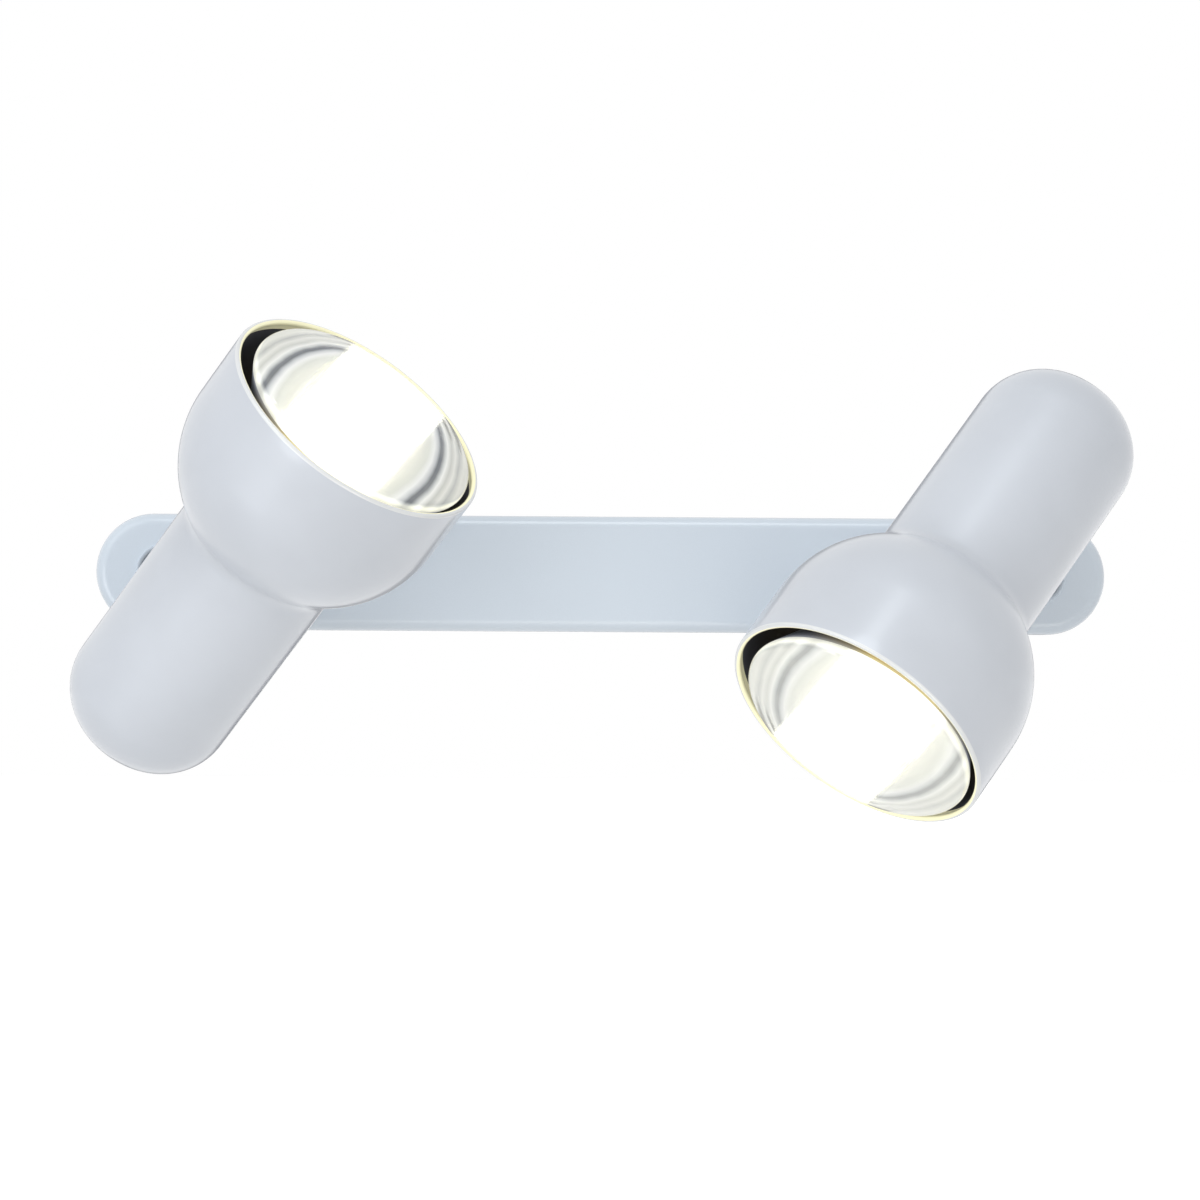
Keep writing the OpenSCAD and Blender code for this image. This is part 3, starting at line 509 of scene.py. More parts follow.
def silver_outside(name):
    """The back of the silver, seen through the glass; at its edge it is painted glowing gold and grey."""
    finish = Finish(name, Metallic=1.0)
    place = finish.own_place()
    cloud = finish.noise(place, 6 * MM, 3)
    finish.set("Base Color", finish.blend(cloud, linear(186, 186, 182), linear(150, 150, 148)))
    finish.set("Roughness", 0.22 + 0.15 * cloud)
    # Painted lamp light: a gold glow in the middle of the band and a grey one further out, both darker
    # deeper down.
    depth = (wide_z - place.part(2) - 1.9 * MM) / (4 * MM)
    gold = finish.ramp(depth, (0, linear(222, 206, 152)), (0.25, linear(190, 166, 96)),
                       (1, linear(122, 102, 58)))
    across = (place.part(0).absolute() - 12 * MM) / (20 * MM)
    share = finish.ramp(across, (0, (0, 0, 0)), (0.35, (0.7, 0.7, 0.7)), (1, (1, 1, 1)))
    grey = finish.ramp(depth, (0, linear(116, 120, 128)), (0.4, linear(66, 69, 76)), (1, linear(34, 37, 40)))
    finish.set("Emission Color", finish.blend(share, gold, grey))
    finish.set("Emission Strength", 1.0)
    return finish.material


def rippled_face(name):
    finish = Finish(name, IOR=1.5)
    place = finish.own_place()
    # Painted reflection: grey and white arcs of the room in the face's colour, round a centre set off the
    # axis.
    stretched = place * (1, 0.67, 0) + (0, 11 * MM, 0)
    wander = 1.2 * MM * (finish.noise(place, 11 * MM, 2) - 0.5)
    ring = finish.add("ShaderNodeVectorMath", {"operation": "LENGTH"}, [stretched], out="Value") + wander
    share = (ring - 18 * MM) / (24 * MM)
    arcs = finish.ramp(share, (0, linear(252, 252, 244)), (0.17, linear(246, 246, 236)),
                       (0.3, linear(230, 232, 224)), (0.38, linear(252, 253, 252)),
                       (0.44, linear(200, 204, 208)), (0.485, linear(84, 90, 102)),
                       (0.525, linear(92, 98, 110)), (0.57, linear(200, 204, 205)),
                       (0.61, linear(252, 253, 250)), (0.68, linear(202, 203, 198)),
                       (0.75, linear(236, 236, 230)), (0.82, linear(184, 186, 184)),
                       (0.9, linear(228, 228, 220)), (1, linear(214, 214, 206)))
    # The painted reflection arcs fade towards the lamp on the right.
    to_the_right = finish.object_place().part(0).step(-60 * MM, 60 * MM)
    faint = 0.25 * finish.noise(place, 13 * MM, 2) + 0.4 * to_the_right
    pattern = finish.blend(faint, arcs, linear(236, 237, 230))
    finish.set("Base Color", pattern)
    finish.set("Metallic", 0.3)
    finish.set("Roughness", 0.1 + 0.12 * finish.noise(place, 5 * MM, 2))
    # Painted glow: the round edge glows white in the band and grey beside it, and the rest faintly in the
    # arcs' colour.
    beside = beside_band(finish, place, 1.6 * MM)
    edge = (place.part(2) - wide_z).step(0.4 * MM, 2 * MM)
    painted_edge_glow = finish.blend(beside, linear(255, 253, 244), linear(196, 196, 188))
    finish.set("Emission Color", finish.blend(edge, painted_edge_glow, pattern * 0.05))
    finish.set("Emission Strength", 1.0)
    facing = finish.add("ShaderNodeLayerWeight", {}, {"Blend": 0.3}, out="Facing")
    finish.set("Alpha", (0.95 - 0.85 * edge + 0.75 * beside + 0.1 * facing).clamp())
    finish.bump(share.apply("SINE", share * 40), 0.25 * MM, 0.35)
    return finish.material


def clear_glass(name):
    finish = Finish(name, Roughness=0.04, IOR=1.5)
    place = finish.own_place()
    finish.set("Base Color", linear(250, 251, 252))
    facing = finish.add("ShaderNodeLayerWeight", {}, {"Blend": 0.35}, out="Facing")
    finish.set("Alpha", 0.08 + 0.04 * finish.noise(place, 6 * MM, 2) + 0.35 * facing ** 3)
    return finish.material


def glowing(name, colour, strength):
    finish = Finish(name, Roughness=0.5)
    place = finish.object_place()
    hot = finish.noise(place, 1.5 * MM, 2)
    finish.set("Base Color", linear(150, 150, 150))
    finish.set("Emission Color", finish.blend(hot, colour, [value * 0.9 for value in colour]))
    finish.set("Emission Strength", strength)
    return finish.material


bowl_silver = silvered("bowl_silver")
bowl_outside = silver_outside("bowl_outside")
face_glass = rippled_face("face_glass")
stem_glass = clear_glass("stem_glass")
hot_filament = glowing("hot_filament", linear(255, 244, 220), 300.0)

# %% [markdown]
# Every CAD node that already has the right shape stays, and gets its finish here. The list goes by
# what the piece is made of, so a missing piece would stop the script.

# %% Finishes of the carried-over pieces
plain_pieces = {
    "mounting_strap": zinc_plate, "cover_pillars": zinc_plate, "cover_screws": nickel,
    "terminal_block": porcelain, "terminal_screws": turned_brass, "cable_grommet": rubber,
    "earth_screw": turned_brass,
}
swivel_pieces = {
    "swivel_base": knuckle_lacquer, "lock_washer": nickel, "lock_nut": turned_brass,
    "hinge_screw": nickel, "hinge_washer": nickel, "hinge_nut": turned_brass,
}
head_pieces = {
    "knuckle_arm": knuckle_lacquer, "saddle": saddle_plastic, "holder_bracket": zinc_plate,
    "inner_washer": nickel, "shade_nut": turned_brass, "holder_screws": nickel, "lampholder": porcelain,
    "screw_shell": turned_brass, "spring_contact": turned_brass, "lamp_cap": cap_metal,
    "lamp_insulator": black_glass, "lamp_contact": solder_metal, "lamp_stem": stem_glass,
}


def dress(node, material):
    node.data.materials.clear()
    node.data.materials.append(material)


for name, material in plain_pieces.items():
    dress(nodes[name], material)
for side in ("left", "right"):
    for name, material in {**swivel_pieces, **head_pieces}.items():
        dress(nodes[side + "_" + name], material)
print("carried-over nodes dressed:", len(plain_pieces) + 2 * (len(swivel_pieces) + len(head_pieces)))

# %% [markdown]
# Two helpers make most new meshes. The first turns an outline of (radius, z) points round the z axis,
# as a spinning lathe does. The second stores each point's coordinates in the piece's own frame, then
# puts the piece in its place on the wall and lets it ride on its body.

# %% Turning and settling


def arc(x, y, radius, start, end, steps):
    """Points on an arc, with its angles in degrees."""
    angles = [radians(start + (end - start) * i / steps) for i in range(steps + 1)]
    return [(x + radius * cos(angle), y + radius * sin(angle)) for angle in angles]


def new_object(name, mesh):
    obj = bpy.data.objects.new(name, mesh)
    bpy.context.scene.collection.objects.link(obj)
    return obj


def mesh_from(name, bm):
    mesh = bpy.data.meshes.new(name)
    bm.to_mesh(mesh)
    bm.free()
    return mesh


def turned(name, outline, steps=144):
    """A closed shell turned from an outline whose two ends lie on the axis."""
    bm = bmesh.new()
    rings = []
    for radius, z in outline:
        if radius < 1e-7:
            rings.append([bm.verts.new((0, 0, z))])
        else:
            angles = [2 * pi * i / steps for i in range(steps)]
            rings.append([bm.verts.new((radius * cos(angle), radius * sin(angle), z)) for angle in angles])
    for lower, upper in zip(rings, rings[1:]):
        for i in range(steps):
            j = (i + 1) % steps
            corners = [lower[i % len(lower)], lower[j % len(lower)],
                       upper[j % len(upper)], upper[i % len(upper)]]
            bm.faces.new(list(dict.fromkeys(corners)))
    bmesh.ops.recalc_face_normals(bm, faces=bm.faces)
    return new_object(name, mesh_from(name, bm))


def smooth(mesh, angle=35):
    mesh.shade_smooth()
    mesh.set_sharp_from_angle(angle=radians(angle))


def settle(obj, body, slot, place, *stands_for):
    """Keeps the piece's own coordinates, puts its place in its mesh and hangs it on its body."""
    own = obj.data.attributes.new("place", "FLOAT_VECTOR", "POINT")
    own.data.foreach_set("vector", [value for vertex in obj.data.vertices for value in vertex.co])
    obj.data.transform(place)
    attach(obj, body)
    if stands_for:
        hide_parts(*stands_for)
    print(obj.name, "has", len(obj.data.vertices), "points")
    return obj


# %% [markdown]
# The bar's cover is one steel sheet, cut to the outline of a running track and pressed over a tool, so
# its front edge is round and its back is open. It could be an extrusion with a bevel, but the bevel
# would also round the holes. Here rings of the outline climb the side and roll over the edge, and the
# flat front is then filled round its holes. Each end has a pressed dimple that hides a screw's head.

# %% Pressed cover of the bar
half_straight = (bar_len - bar_h) / 2


def on_bar(x, y, z):
    """From the bar's frame, y up and z out of the wall, to the wall's."""
    return Vector((x, -z, y))


def track(bm, inset, z, straight_steps=40, bend_steps=48):
    """A ring of points: the bar's outline drawn inwards by inset, z above the wall."""
    radius = bar_h / 2 - inset
    ring = []
    for end in (1, -1):
        for x, y in arc(half_straight, 0, radius, -90, 90, bend_steps):
            ring.append(bm.verts.new(on_bar(end * x, end * y, z)))
        for i in range(1, straight_steps):
            x = half_straight * (1 - 2 * i / straight_steps)
            ring.append(bm.verts.new(on_bar(end * x, end * radius, z)))
    return ring


def circle(bm, x, radius, z, steps=64):
    angles = [2 * pi * i / steps for i in range(steps)]
    return [bm.verts.new(on_bar(x + radius * cos(angle), radius * sin(angle), z)) for angle in angles]


def skin(bm, rings):
    for lower, upper in zip(rings, rings[1:]):
        for i in range(len(lower)):
            j = (i + 1) % len(lower)
            bm.faces.new((lower[i], lower[j], upper[j], upper[i]))


def loop_edges(bm, ring):
    """The edges round a ring of points, made where they don't exist yet."""
    pairs = zip(ring, [*ring[1:], ring[0]])
    return [bm.edges.get(pair) or bm.edges.new(pair) for pair in pairs]


def fill_flat(bm, border):
    """Fills the flat area between closed rings of edges with faces that look into the room."""
    filled = bmesh.ops.triangle_fill(bm, edges=border, use_beauty=True, normal=(0, -1, 0))
    for face in filled["geom"]:
        if isinstance(face, bmesh.types.BMFace) and face.normal.y > 0:
            face.normal_flip()


def dimple_rings(bm, x):
    """From the flat front down a steep cone of 60 degrees, and along the floor to the screw hole."""
    soft, mouth, floor_z = 0.6 * MM, dimple_mouth, bar_d - dimple_depth
    run = (dimple_depth - soft) / sqrt(3)
    shoulder = arc(mouth, bar_d - soft, soft, 90, 150, 6)
    foot = arc(mouth - soft * sqrt(3) - run, floor_z + soft, soft, -30, -90, 6)
    floor = [(screw_hole_r + 0.3 * MM, floor_z), (screw_hole_r, floor_z)]
    outline = [(mouth + 0.4 * MM, bar_d), *shoulder, *foot, *floor]
    return [circle(bm, x, radius, z) for radius, z in outline]


def pressed_cover():
    bm = bmesh.new()
    side = [track(bm, 0, bar_d * share) for share in (0, 0.03, 0.4, 0.7)]
    edge = [track(bm, bar_edge_r - x, z) for x, z in arc(0, bar_d - bar_edge_r, bar_edge_r, 0, 90, 12)]
    front = track(bm, bar_edge_r + 0.4 * MM, bar_d)
    skin(bm, [*side, *edge, front])
    border = loop_edges(bm, front)
    for x in (-dimple_x, dimple_x):
        rings = dimple_rings(bm, x)
        skin(bm, [ring[::-1] for ring in rings])
        border += loop_edges(bm, rings[0])
    for swivel in pan.values():
        border += loop_edges(bm, circle(bm, swivel.x, swivel_hole_r, bar_d))
    fill_flat(bm, border)
    return new_object("bar_cover_pressed", mesh_from("bar_cover_pressed", bm))


def with_modifier(obj, kind, **settings):
    """Adds a modifier, bakes the result into the mesh and takes the modifier off again."""
    modifier = obj.modifiers.new(kind.lower(), kind)
    for name, value in settings.items():
        setattr(modifier, name, value)
    mesh = bpy.data.meshes.new_from_object(obj.evaluated_get(bpy.context.evaluated_depsgraph_get()))
    obj.modifiers.clear()
    obj.data = mesh
    return obj


cover = with_modifier(pressed_cover(), "SOLIDIFY", thickness=bar_t, offset=-1, use_even_offset=True)
smooth(cover.data)
cover.data.materials.append(bar_coat)
settle(cover, "bar", "bar_paint", Matrix(), "bar_cover")

# %% [markdown]
# A shade is spun: a flat disc of sheet is pressed over a turning tool until it has the tool's shape,
# and its rim is then rolled into a lip that stiffens it and hides the cut edge. So its outline is all
# arcs that run smoothly into each other: lip, straight skirt, round shoulder, hollow neck, straight
# tube, round rear end. The outline goes along the outside and back along the inside, and is turned.

# %% Spun shades
rear_z = rim_reach - shade_len
shoulder_z = rim_reach - skirt_len
dark_z = rim_reach - 4 * MM
shoulder_x = rim_r - shoulder_r
fillet_x = tube_r + neck_fillet
fillet_z = shoulder_z - sqrt((shoulder_r + neck_fillet) ** 2 - (fillet_x - shoulder_x) ** 2)
blend_angle = degrees(atan2(fillet_z - shoulder_z, fillet_x - shoulder_x))


def straight(first, last, steps):
    """Points between two others, without the ends."""
    return [(first[0] + (last[0] - first[0]) * i / steps, first[1] + (last[1] - first[1]) * i / steps)
            for i in range(1, steps)]


def shade_outline(inset):
    """From the skirt's front to the middle of the rear end, drawn inwards by inset."""
    shoulder = arc(shoulder_x, shoulder_z, shoulder_r - inset, 0, blend_angle, 26)
    neck = arc(fillet_x, fillet_z, neck_fillet + inset, 180 + blend_angle, 180, 10)
    rear = arc(tube_r - rear_r, rear_z + rear_r, rear_r - inset, 0, -90, 20)
    return [*shoulder, *neck, *straight(neck[-1], rear[0], 12), *rear, (0, rear_z + inset)]


def spun_shade(side):
    outside, inside = shade_outline(0), shade_outline(shade_t)
    lip = arc(rim_r - lip_r, rim_reach - lip_r, lip_r, 0, 240, 18)
    behind_lip, coat_start = (rim_r - shade_t, rim_reach - 2.6 * lip_r), (rim_r - shade_t, dark_z)
    outline = [*outside[::-1], *straight(outside[0], lip[0], 6), *lip, behind_lip, coat_start,
               *straight(coat_start, inside[0], 6), *inside]
    return turned(side + "_shade_spun", outline, 160)


def drilled(obj, radius):
    """Cuts the nipple's hole through the wall on the y side."""
    bm = bmesh.new()
    place = Matrix.Translation((0, tube_r, 0)) @ Matrix.Rotation(pi / 2, 4, "X")
    bmesh.ops.create_cone(bm, cap_ends=True, segments=48, radius1=radius, radius2=radius, depth=4 * shade_t,
                          matrix=place)
    cutter = new_object("cutter", mesh_from("cutter", bm))
    with_modifier(obj, "BOOLEAN", operation="DIFFERENCE", solver="EXACT", object=cutter)
    bpy.data.objects.remove(cutter)
    return obj


def looks_inwards(polygon):
    """True on the inner side of a turned shell: its normal points to the axis, or up from its rear end."""
    centre, normal = polygon.center, polygon.normal
    ahead = normal.dot(Vector((centre.x, centre.y, 0)).normalized())
    in_rear = centre.z < rear_z + rear_r and hypot(centre.x, centre.y) < tube_r - shade_t
    return ahead < -0.05 or (in_rear and normal.z > 0.2)


def shade_coat(polygon):
    """A face's material: 0 lacquer, 1 painted shade inside, 2 lip's painted highlight, 3 painted lamp glow.
    """
    z, inwards = polygon.center.z, looks_inwards(polygon)
    if z < dark_z:
        return 1 if inwards else 0
    if inwards:
        return 3
    return 2 if z > rim_reach - 1.2 * lip_r else 0


for side in ("left", "right"):
    shade = drilled(spun_shade(side), 5.04 * MM)
    for material in (shade_lacquer, dark_inside, lip_lacquer, lit_lacquer):
        shade.data.materials.append(material)
    for polygon in shade.data.polygons:
        polygon.material_index = shade_coat(polygon)
    smooth(shade.data)
    settle(shade, side + "_head", "shade_paint", head_frame(side), side + "_shade")

# %% [markdown]
# The lamp's bulb is blown in a mould: a neck that is sealed into the cap, a bowl and a domed face. The
# bowl is a parabola, since only that shape sends the light of a lamp at its focus straight ahead. Its
# face meets the bowl over a round edge, and the wall is a millimetre thick, so the outline is drawn
# twice, the second time inwards by the wall. Such bulbs are seldom cemented quite straight into their
# caps, and these two sit askew by less than a degree.

# %% Bulbs
face_z = rim_reach + lamp_proud
edge_x = lamp_r - edge_r
face_r = (edge_x ** 2 + face_h ** 2 - edge_r ** 2) / (2 * (face_h - edge_r))
face_angle = degrees(asin(edge_x / (face_r - edge_r)))
bowl_slope = degrees(atan(2 * mirror_f / lamp_r))
bowl_r = edge_x + edge_r * cos(radians(bowl_slope))
bowl_z = wide_z - edge_r * sin(radians(bowl_slope)) - bowl_r ** 2 / (4 * mirror_f)
cap_front_z = contact_z + 27 * MM
cap_rear_z = contact_z + 4.5 * MM
askew_x = {"left": 0, "right": radians(0.77)}
askew_y = {"left": radians(-0.74), "right": 0}


def bulb_frame(side):
    """The bulb's own frame, turned a little at the front of its cap."""
    seat = Matrix.Translation((0, 0, cap_front_z))
    turned_bulb = Matrix.Rotation(askew_x[side], 4, "X") @ Matrix.Rotation(askew_y[side], 4, "Y")
    return lamp_frame(side) @ seat @ turned_bulb @ seat.inverted()


def bowl_point(radius, inset):
    """A point of the parabola, moved inwards along its normal."""
    slope = atan(2 * mirror_f / radius)
    return radius - inset * cos(slope), radius ** 2 / (4 * mirror_f) + bowl_z + inset * sin(slope)


def bulb_outline(inset):
    neck_z = bowl_z + neck_r ** 2 / (4 * mirror_f)
    neck = [(seal_r - inset, cap_rear_z + 6 * MM), (seal_r - inset, cap_front_z + 0.5 * MM),
            (neck_r - 1.5 * MM - inset, cap_front_z + 9 * MM), (neck_r - inset, neck_z - 2 * MM)]
    bowl = [bowl_point(neck_r + (bowl_r - neck_r) * i / 80, inset) for i in range(80)]
    edge = arc(edge_x, wide_z, edge_r - inset, -bowl_slope, 90 - face_angle, 16)
    face = arc(0, face_z - face_r, face_r - inset, 90 - face_angle * 0.95, 90, 16)
    return [*neck, *bowl, *edge, *face[:-1], (0, face_z - inset)]


def bulb(side):
    outside, inside = bulb_outline(0), bulb_outline(glass_t)
    obj = turned(side + "_lamp_bulb", [*outside[::-1], *inside], 144)
    for material in (bowl_outside, bowl_silver, face_glass):
        obj.data.materials.append(material)
    for polygon in obj.data.polygons:
        polygon.material_index = 2 if polygon.center.z > wide_z - 1.6 * MM else int(looks_inwards(polygon))
    smooth(obj.data, 60)
    return settle(obj, side + "_head", "lamp_glass", bulb_frame(side), side + "_lamp_glass")


for side in ("left", "right"):
    bulb(side)
print("focus of the bowl at z =", round((bowl_z + mirror_f) / MM, 1), "mm")

# %% [markdown]
# Geometry Nodes suit what follows a rule. The class below builds such a tree with named inputs, and
# grown() runs it on an empty object and keeps the result as a plain mesh, because an export drops
# live instances and modifiers.

# %% Trees of geometry nodes


class Grower(Graph):
    """A Geometry Nodes tree with named inputs that ends in Realize Instances and Set Material."""

    kinds = {float: "NodeSocketFloat", int: "NodeSocketInt"}

    def __init__(self, name, **sizes):
        super().__init__(bpy.data.node_groups.new(name, "GeometryNodeTree"))
        self.sizes = sizes
        self.tree.interface.new_socket("Geometry", in_out="INPUT", socket_type="NodeSocketGeometry")
        self.tree.interface.new_socket("Geometry", in_out="OUTPUT", socket_type="NodeSocketGeometry")
        self.names = {}
        for label, value in sizes.items():
            made = self.tree.interface.new_socket(label, in_out="INPUT", socket_type=self.kinds[type(value)])
            self.names[label] = made.identifier
        source = self.tree.nodes.new("NodeGroupInput")
        self.inputs = {socket.name: Field(self, socket) for socket in source.outputs if socket.name}

    def end(self, geometry, material):
        real = self.add("GeometryNodeRealizeInstances", {}, [geometry])
        painted = self.add("GeometryNodeSetMaterial", {}, {"Geometry": real, "Material": material})
        sink = self.tree.nodes.new("NodeGroupOutput")
        self.put(sink.inputs[0], painted)
        return self


def grown(name, grower, start=None):
    """Runs a tree on a mesh or curve and returns the result as an object with a plain mesh."""
    data = start or bpy.data.meshes.new(name)
    host = new_object(name + "_host", data)
    modifier = host.modifiers.new("grow", "NODES")
    modifier.node_group = grower.tree
    for label, value in grower.sizes.items():
        modifier[grower.names[label]] = value
    mesh = bpy.data.meshes.new_from_object(host.evaluated_get(bpy.context.evaluated_depsgraph_get()))
    bpy.data.objects.remove(host)
    mesh.name = name
    return new_object(name, mesh)


# %% [markdown]
# A filament is tungsten wire wound into a fine coil, and the coil is bent into most of a circle round
# the lamp's focus. In nodes that is a straight spiral whose points are then moved: the height along
# the spiral becomes the angle round the ring. Winding it this way needs no list of points at all.

# %% Filaments
filament_z = bowl_z + mirror_f + 2 * MM
ring_r, coil_r, filament_wire_r = 8 * MM, 0.46 * MM, 0.13 * MM
sweep, start_angle = radians(270), radians(-15)


def coil_tree():
    tree = Grower("coil", Turns=64.0, Coil=coil_r, Ring=ring_r, Wire=filament_wire_r, Sweep=sweep,
                  Start=start_angle)
    sizes = tree.inputs
    spiral = tree.add("GeometryNodeCurveSpiral", {}, {"Resolution": 12, "Rotations": sizes["Turns"],
                      "Start Radius": sizes["Coil"], "End Radius": sizes["Coil"], "Height": 1.0})
    place = tree.add("GeometryNodeInputPosition")
    angle = sizes["Start"] + place.part(2) * sizes["Sweep"]
    outward = sizes["Ring"] + place.part(0)
    bent = tree.add("ShaderNodeCombineXYZ", {}, [outward * angle.apply("COSINE", angle),
                    outward * angle.apply("SINE", angle), place.part(1)])
    moved = tree.add("GeometryNodeSetPosition", {}, {"Geometry": spiral, "Position": bent})
    section = tree.add("GeometryNodeCurvePrimitiveCircle", {}, {"Resolution": 6, "Radius": sizes["Wire"]})
    wire = tree.add("GeometryNodeCurveToMesh", {},
                    {"Curve": moved, "Profile Curve": section, "Fill Caps": True})
    return tree.end(wire, hot_filament)


coil = coil_tree()
for side in ("left", "right"):
    filament = grown(side + "_filament_coil", coil)
    filament.data.transform(Matrix.Translation((0, 0, filament_z)))
    filament.data.shade_smooth()
    settle(filament, side + "_head", "filament", lamp_frame(side), side + "_lamp_filament")

# %% [markdown]
# The leads are silicone-covered cores that run from the terminal block along the strap and up into
# each swivel. Their routes are the CAD model's own corner points. The tree rounds each corner, sweeps a
# circle along the route, and stores how far round the core each point lies, for the earth's stripes.

# %% Leads
lead_r, lead_gap, lead_bend = 0.85 * MM, 3 * MM, 2.2 * MM
wire_z, lead_z, lead_y = 7.5 * MM, 8 * MM, 9.3 * MM
way_pitch = 10 * MM
nipple_in, lead_end_gap = 9 * MM, 0.4 * MM


def sleeve_tree(name, material):
    tree = Grower(name, Radius=lead_r, Bend=lead_bend)
    route = tree.tree.nodes["Group Input"].outputs[0]
    rounded = tree.add("GeometryNodeFilletCurve", {"mode": "POLY"},
                       {"Curve": Field(tree, route), "Count": 6, "Radius": tree.inputs["Bend"]})
    section = tree.add("GeometryNodeCurvePrimitiveCircle", {},
                       {"Resolution": 20, "Radius": tree.inputs["Radius"]})
    share = tree.add("GeometryNodeSplineParameter")
    marked = tree.add("GeometryNodeStoreNamedAttribute", {"data_type": "FLOAT", "domain": "POINT"},
                      {"Geometry": section, "Name": "around", "Value": share})
    tube = tree.add("GeometryNodeCurveToMesh", {},
                    {"Curve": rounded, "Profile Curve": marked, "Fill Caps": True})
    return tree.end(tube, material)


sleeves = {"brown": sleeve_tree("brown_core", brown_sleeve), "blue": sleeve_tree("blue_core", blue_sleeve),
           "earth": sleeve_tree("earth_core", earth_sleeve)}


def route_curve(name, points):
    curve = bpy.data.curves.new(name, "CURVE")
    curve.dimensions = "3D"
    spline = curve.splines.new("POLY")
    spline.points.add(len(points) - 1)
    for point, place in zip(spline.points, points):
        point.co = [*place, 1]
    return curve


def cores(name, routes, body, slot, place, *stands_for):
    """One piece for the cores of a run: each route is a (sleeve, points) pair."""
    bm = bmesh.new()
    materials = []
    for sleeve, points in routes:
        core = grown(name + "_" + sleeve, sleeves[sleeve], route_curve(name, points))
        first = len(bm.faces)
        bm.from_mesh(core.data)
        bm.faces.ensure_lookup_table()
        for face in bm.faces[first:]:
            face.material_index = len(materials)
        materials.append(core.data.materials[0])
        bpy.data.objects.remove(core)
    obj = new_object(name, mesh_from(name, bm))
    for material in materials:
        obj.data.materials.append(material)
    smooth(obj.data, 50)
    return settle(obj, body, slot, place, *stands_for)


def bar_route(side, core):
    """One core of the bar's run: the left pair leaves the block's upper side, the right pair the lower."""
    way = -1 if side == "left" else 1
    outer = core if way < 0 else 1 - core
    x, y = (core - 1) * way_pitch, -way * (lead_y + outer * lead_gap)
    pivot_x = abs(pan[side].x)
    mouth_x, mouth_z = way * (pivot_x + (outer - 0.5) * lead_gap), bar_d - nipple_in - lead_end_gap
    return [(x, -way * 6 * MM, wire_z), (x, y, wire_z), (x + way * 12 * MM, y, lead_z),
            (way * (pivot_x - 12 * MM), y, lead_z), (mouth_x, 0, mouth_z - 3 * MM), (mouth_x, 0, mouth_z)]


def swivel_route(side, core):
    """Straight up inside the nipple, alike on both sides."""
    x = (core - 0.5) * lead_gap
    return [(x, 0, -nipple_in + 0.1 * MM), (x, 0, hinge_out - 8.7 * MM)]


def head_route(side, core):
    """From the lampholder's terminal along its side and out through the nipple, alike on both sides."""
    x, run_y, terminal_z = (core - 0.5) * lead_gap, 20.33 * MM, contact_z - 8.5 * MM
    return [(x, 12.6 * MM, terminal_z), (x, run_y, terminal_z), (x, run_y, 0), (x, tube_r, 0)]


def pair(name, route, side, *settling):
    cores(name, [("brown", route(side, 0)), ("blue", route(side, 1))], *settling)


bar_frame = Matrix.Rotation(pi / 2, 4, "X")
sleeve_slot = "lead_insulation"
for side in ("left", "right"):
    pair(side + "_bar_cores", bar_route, side, "bar", sleeve_slot, bar_frame, side + "_bar_leads")
    pair(side + "_swivel_cores", swivel_route, side, side + "_swivel", sleeve_slot, swivel_frame(side),
         side + "_swivel_leads")
    pair(side + "_head_cores", head_route, side, side + "_head", sleeve_slot, holder_frame(side),
         side + "_head_leads")

# %% [markdown]
# The earth lead runs from the block's third way to a ring tag under its own screw. The tag is punched
# from thin sheet, so it is drawn as an outline with a hole, filled, and given its thickness.

# %% Earth lead and its ring tag
tag_r, tag_hole_r, tag_t, tag_tail = 4.4 * MM, 2.15 * MM, 0.8 * MM, 9.6 * MM
tag_x, tag_z = 30 * MM, 1.58 * MM
earth_route = [(way_pitch, 6 * MM, wire_z), (way_pitch, lead_y + 1 * MM, wire_z),
               (tag_x, lead_y + 1 * MM, tag_z + lead_r), (tag_x, tag_r + 2 * MM, tag_z + lead_r)]
cores("earth_core", [("earth", earth_route)], "bar", "earth_insulation", bar_frame, "earth_lead")

bm = bmesh.new()
half_tail = 1.6 * MM
tail_angle = degrees(acos(half_tail / tag_r))
tail = [(half_tail, tag_tail), (-half_tail, tag_tail)]
outline = [*arc(0, 0, tag_r, 180 - tail_angle, 360 + tail_angle, 48), *tail]
border = []
for points in (outline, arc(0, 0, tag_hole_r, 0, 352.5, 47)):
    border += loop_edges(bm, [bm.verts.new(on_bar(tag_x + x, y, tag_z)) for x, y in points])
fill_flat(bm, border)
tag = new_object("earth_tag", mesh_from("earth_tag", bm))
with_modifier(tag, "SOLIDIFY", thickness=tag_t, offset=1)
tag.data.materials.append(nickel)
settle(tag, "bar", "earth_insulation", Matrix())

# %% [markdown]
# Threads are helical ridges. CAD leaves them off, because a thread on every screw would swamp an exact
# solid. Added here are those at the inner ends of the bar's nipples and on the lamps' caps. One function
# makes them all, because only radius, pitch and length differ.

# %% Threads
thread_depth = 0.3 * MM


def thread_tree(radius, pitch, length, material):
    tree = Grower("thread", Radius=radius, Pitch=pitch, Length=length, Depth=thread_depth)
    sizes = tree.inputs
    turns = sizes["Length"] / sizes["Pitch"]
    spiral = tree.add("GeometryNodeCurveSpiral", {}, {"Resolution": 48, "Rotations": turns,
                      "Start Radius": sizes["Radius"], "End Radius": sizes["Radius"],
                      "Height": sizes["Length"]})
    ridge = tree.add("GeometryNodeCurvePrimitiveCircle", {}, {"Resolution": 6, "Radius": sizes["Depth"]})
    wire = tree.add("GeometryNodeCurveToMesh", {},
                    {"Curve": spiral, "Profile Curve": ridge, "Fill Caps": True})
    return tree.end(wire, material)


def threaded(name, radius, pitch, length, material, start, body, slot, place):
    thread = grown(name, thread_tree(radius - thread_depth * 0.8, pitch, length, material))
    thread.data.transform(start)
    smooth(thread.data, 40)
    return settle(thread, body, slot, place)


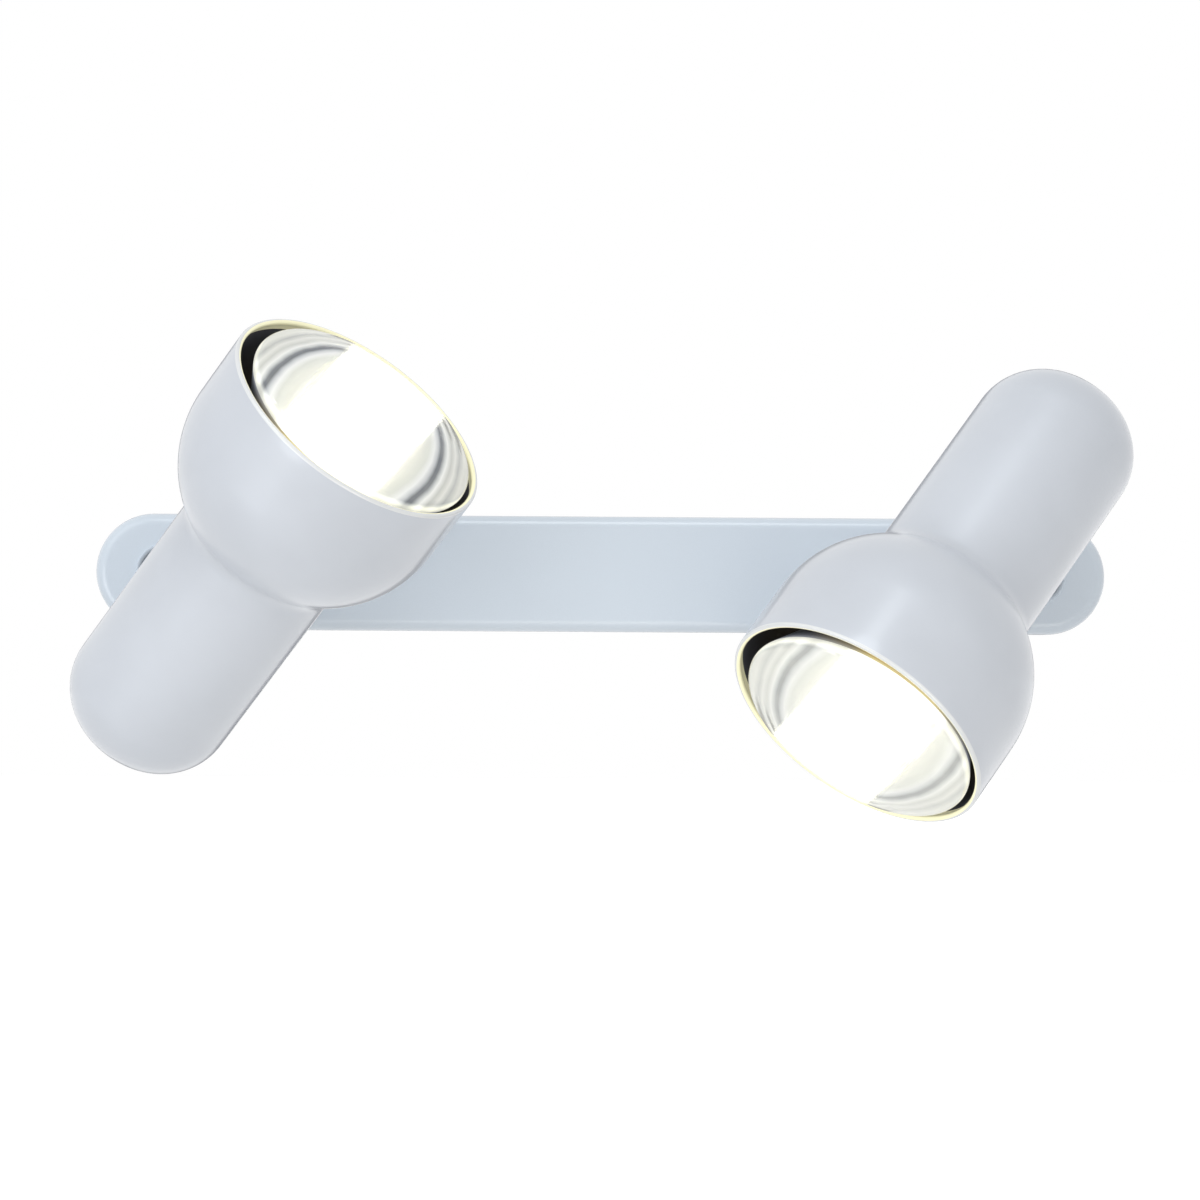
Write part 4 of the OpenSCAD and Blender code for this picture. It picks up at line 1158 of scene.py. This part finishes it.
nipple_r, cap_r = 5 * MM, 13.1 * MM
for side in ("left", "right"):
    inner_end = Matrix.Translation((0, 0, -nipple_in + 0.4 * MM))
    threaded(side + "_nipple_thread", nipple_r, 1 * MM, 3.4 * MM, knuckle_lacquer, inner_end,
             side + "_swivel", "shade_paint", swivel_frame(side))
    cap_start = Matrix.Translation((0, 0, cap_rear_z + 1.5 * MM))
    threaded(side + "_cap_thread", cap_r + 0.3 * MM, 3.6 * MM, 19 * MM, cap_metal, cap_start, side + "_head",
             "cap_aluminium", lamp_frame(side))

# %% [markdown]
# The studio: a large soft lamp high on the left in front, a smaller one above that draws the light line
# along the bar's upper edge, one low on the left, a small warm one low in front that lightens the left
# shade's right side, and an even pale surround. Their powers are fitted, so that the plain paint comes
# out as pale as in the photograph. A white background must not come from more light on the object, or
# its pale paint would clip. So the world shows pure white to the camera and in mirrors, and lights the
# paint at less. White things on white would lose their outlines, so grey cards stand round the back,
# and only reflections show them: every edge that turns away mirrors a card and draws a thin grey line.

# %% World, floor and lamps
scene = bpy.context.scene
scene.view_settings.view_transform = "Standard"


def seen_directly(graph):
    """1 for rays from the camera, from a glossy surface or through glass."""
    kinds = ("Is Camera Ray", "Is Glossy Ray", "Is Transmission Ray")
    camera_ray, glossy_ray, glass_ray = [graph.add("ShaderNodeLightPath", out=kind) for kind in kinds]
    return (camera_ray + glossy_ray + glass_ray).clamp()


def surround(light):
    world = bpy.data.worlds.new("studio")
    scene.world = world
    world.use_nodes = True
    graph = Graph(world.node_tree)
    world.node_tree.nodes.clear()
    strength = light + (1 - light) * seen_directly(graph)
    back = world.node_tree.nodes.new("ShaderNodeBackground")
    graph.put(back.inputs["Color"], (1, 1, 1))
    graph.put(back.inputs["Strength"], strength)
    out = world.node_tree.nodes.new("ShaderNodeOutputWorld")
    world.node_tree.links.new(back.outputs[0], out.inputs[0])


def pale_floor(drop, half):
    """A floor well below the bar. It keeps its shadow, and where it is lit it shows as white."""
    bm = bmesh.new()
    corners = [(-half, -half), (half, -half), (half, half), (-half, half)]
    bm.faces.new([bm.verts.new((x, y, -drop)) for x, y in corners])
    floor = new_object("floor", mesh_from("floor", bm))
    finish = Finish("floor_paint", Roughness=0.9, Base_Color=(0.75, 0.75, 0.75))
    finish.set("Emission Color", finish.blend(seen_directly(finish), (0, 0, 0), (1, 1, 1)))
    finish.set("Emission Strength", 0.6)
    floor.data.materials.append(finish.material)
    floor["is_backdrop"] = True


def grey_cards(distance, gap, wide, high):
    """Four cards round the picture, seen only in reflections."""
    for name, low, top in (("left", (-wide, -gap), (-gap, gap)), ("right", (gap, -gap), (wide, gap)),
                           ("top", (-wide, gap), (wide, high)), ("bottom", (-wide, -high), (wide, -gap))):
        bm = bmesh.new()
        corners = [(low[0], low[1]), (top[0], low[1]), (top[0], top[1]), (low[0], top[1])]
        bm.faces.new([bm.verts.new((x, distance, z)) for x, z in corners])
        card = new_object("card_" + name, mesh_from("card_" + name, bm))
        card.data.materials.append(card_grey)
        card.visible_camera = card.visible_diffuse = card.visible_transmission = card.visible_shadow = False
        card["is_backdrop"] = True


def soft_lamp(name, place, aim, size, power, colour):
    light = bpy.data.lights.new(name, "AREA")
    light.shape, light.size, light.energy, light.color = "DISK", size, power, colour
    obj = bpy.data.objects.new(name, light)
    scene.collection.objects.link(obj)
    obj.location = place
    obj.rotation_euler = (Vector(aim) - Vector(place)).to_track_quat("-Z", "Y").to_euler()


card_grey = moulded("card_grey", linear(124, 124, 130), 0.9)
surround(0.68)
pale_floor(1.2, 40)
grey_cards(1.2, 0.2, 0.5, 0.5)
soft_lamp("key", (-1.4, -1.7, 1.3), (0, 0, 0), 1.6, 6.5, (0.97, 0.99, 1.0))
soft_lamp("top", (0, -1.2, 1.6), (0, 0, 0), 0.8, 5.2, (0.92, 0.97, 1.0))
soft_lamp("left_low", (-1.2, -1.4, -0.35), (0, 0, 0), 1.0, 6, (0.96, 0.98, 1.0))
soft_lamp("low", (0.15, -0.9, -0.4), (-0.15, 0, 0), 0.6, 1.3, (1.0, 0.95, 0.86))

# %% [markdown]
# Last, the visual model's box is printed beside the CAD model's, to show that dressing the model has
# not changed its size.

# %% Sizes
visual_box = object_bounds()
boxes = {"cad": [list(corner) for corner in cad_box], "visual": [list(corner) for corner in visual_box]}
for label, (low, high) in boxes.items():
    print(label, "box in mm:", [round((b - a) / MM, 1) for a, b in zip(low, high)])
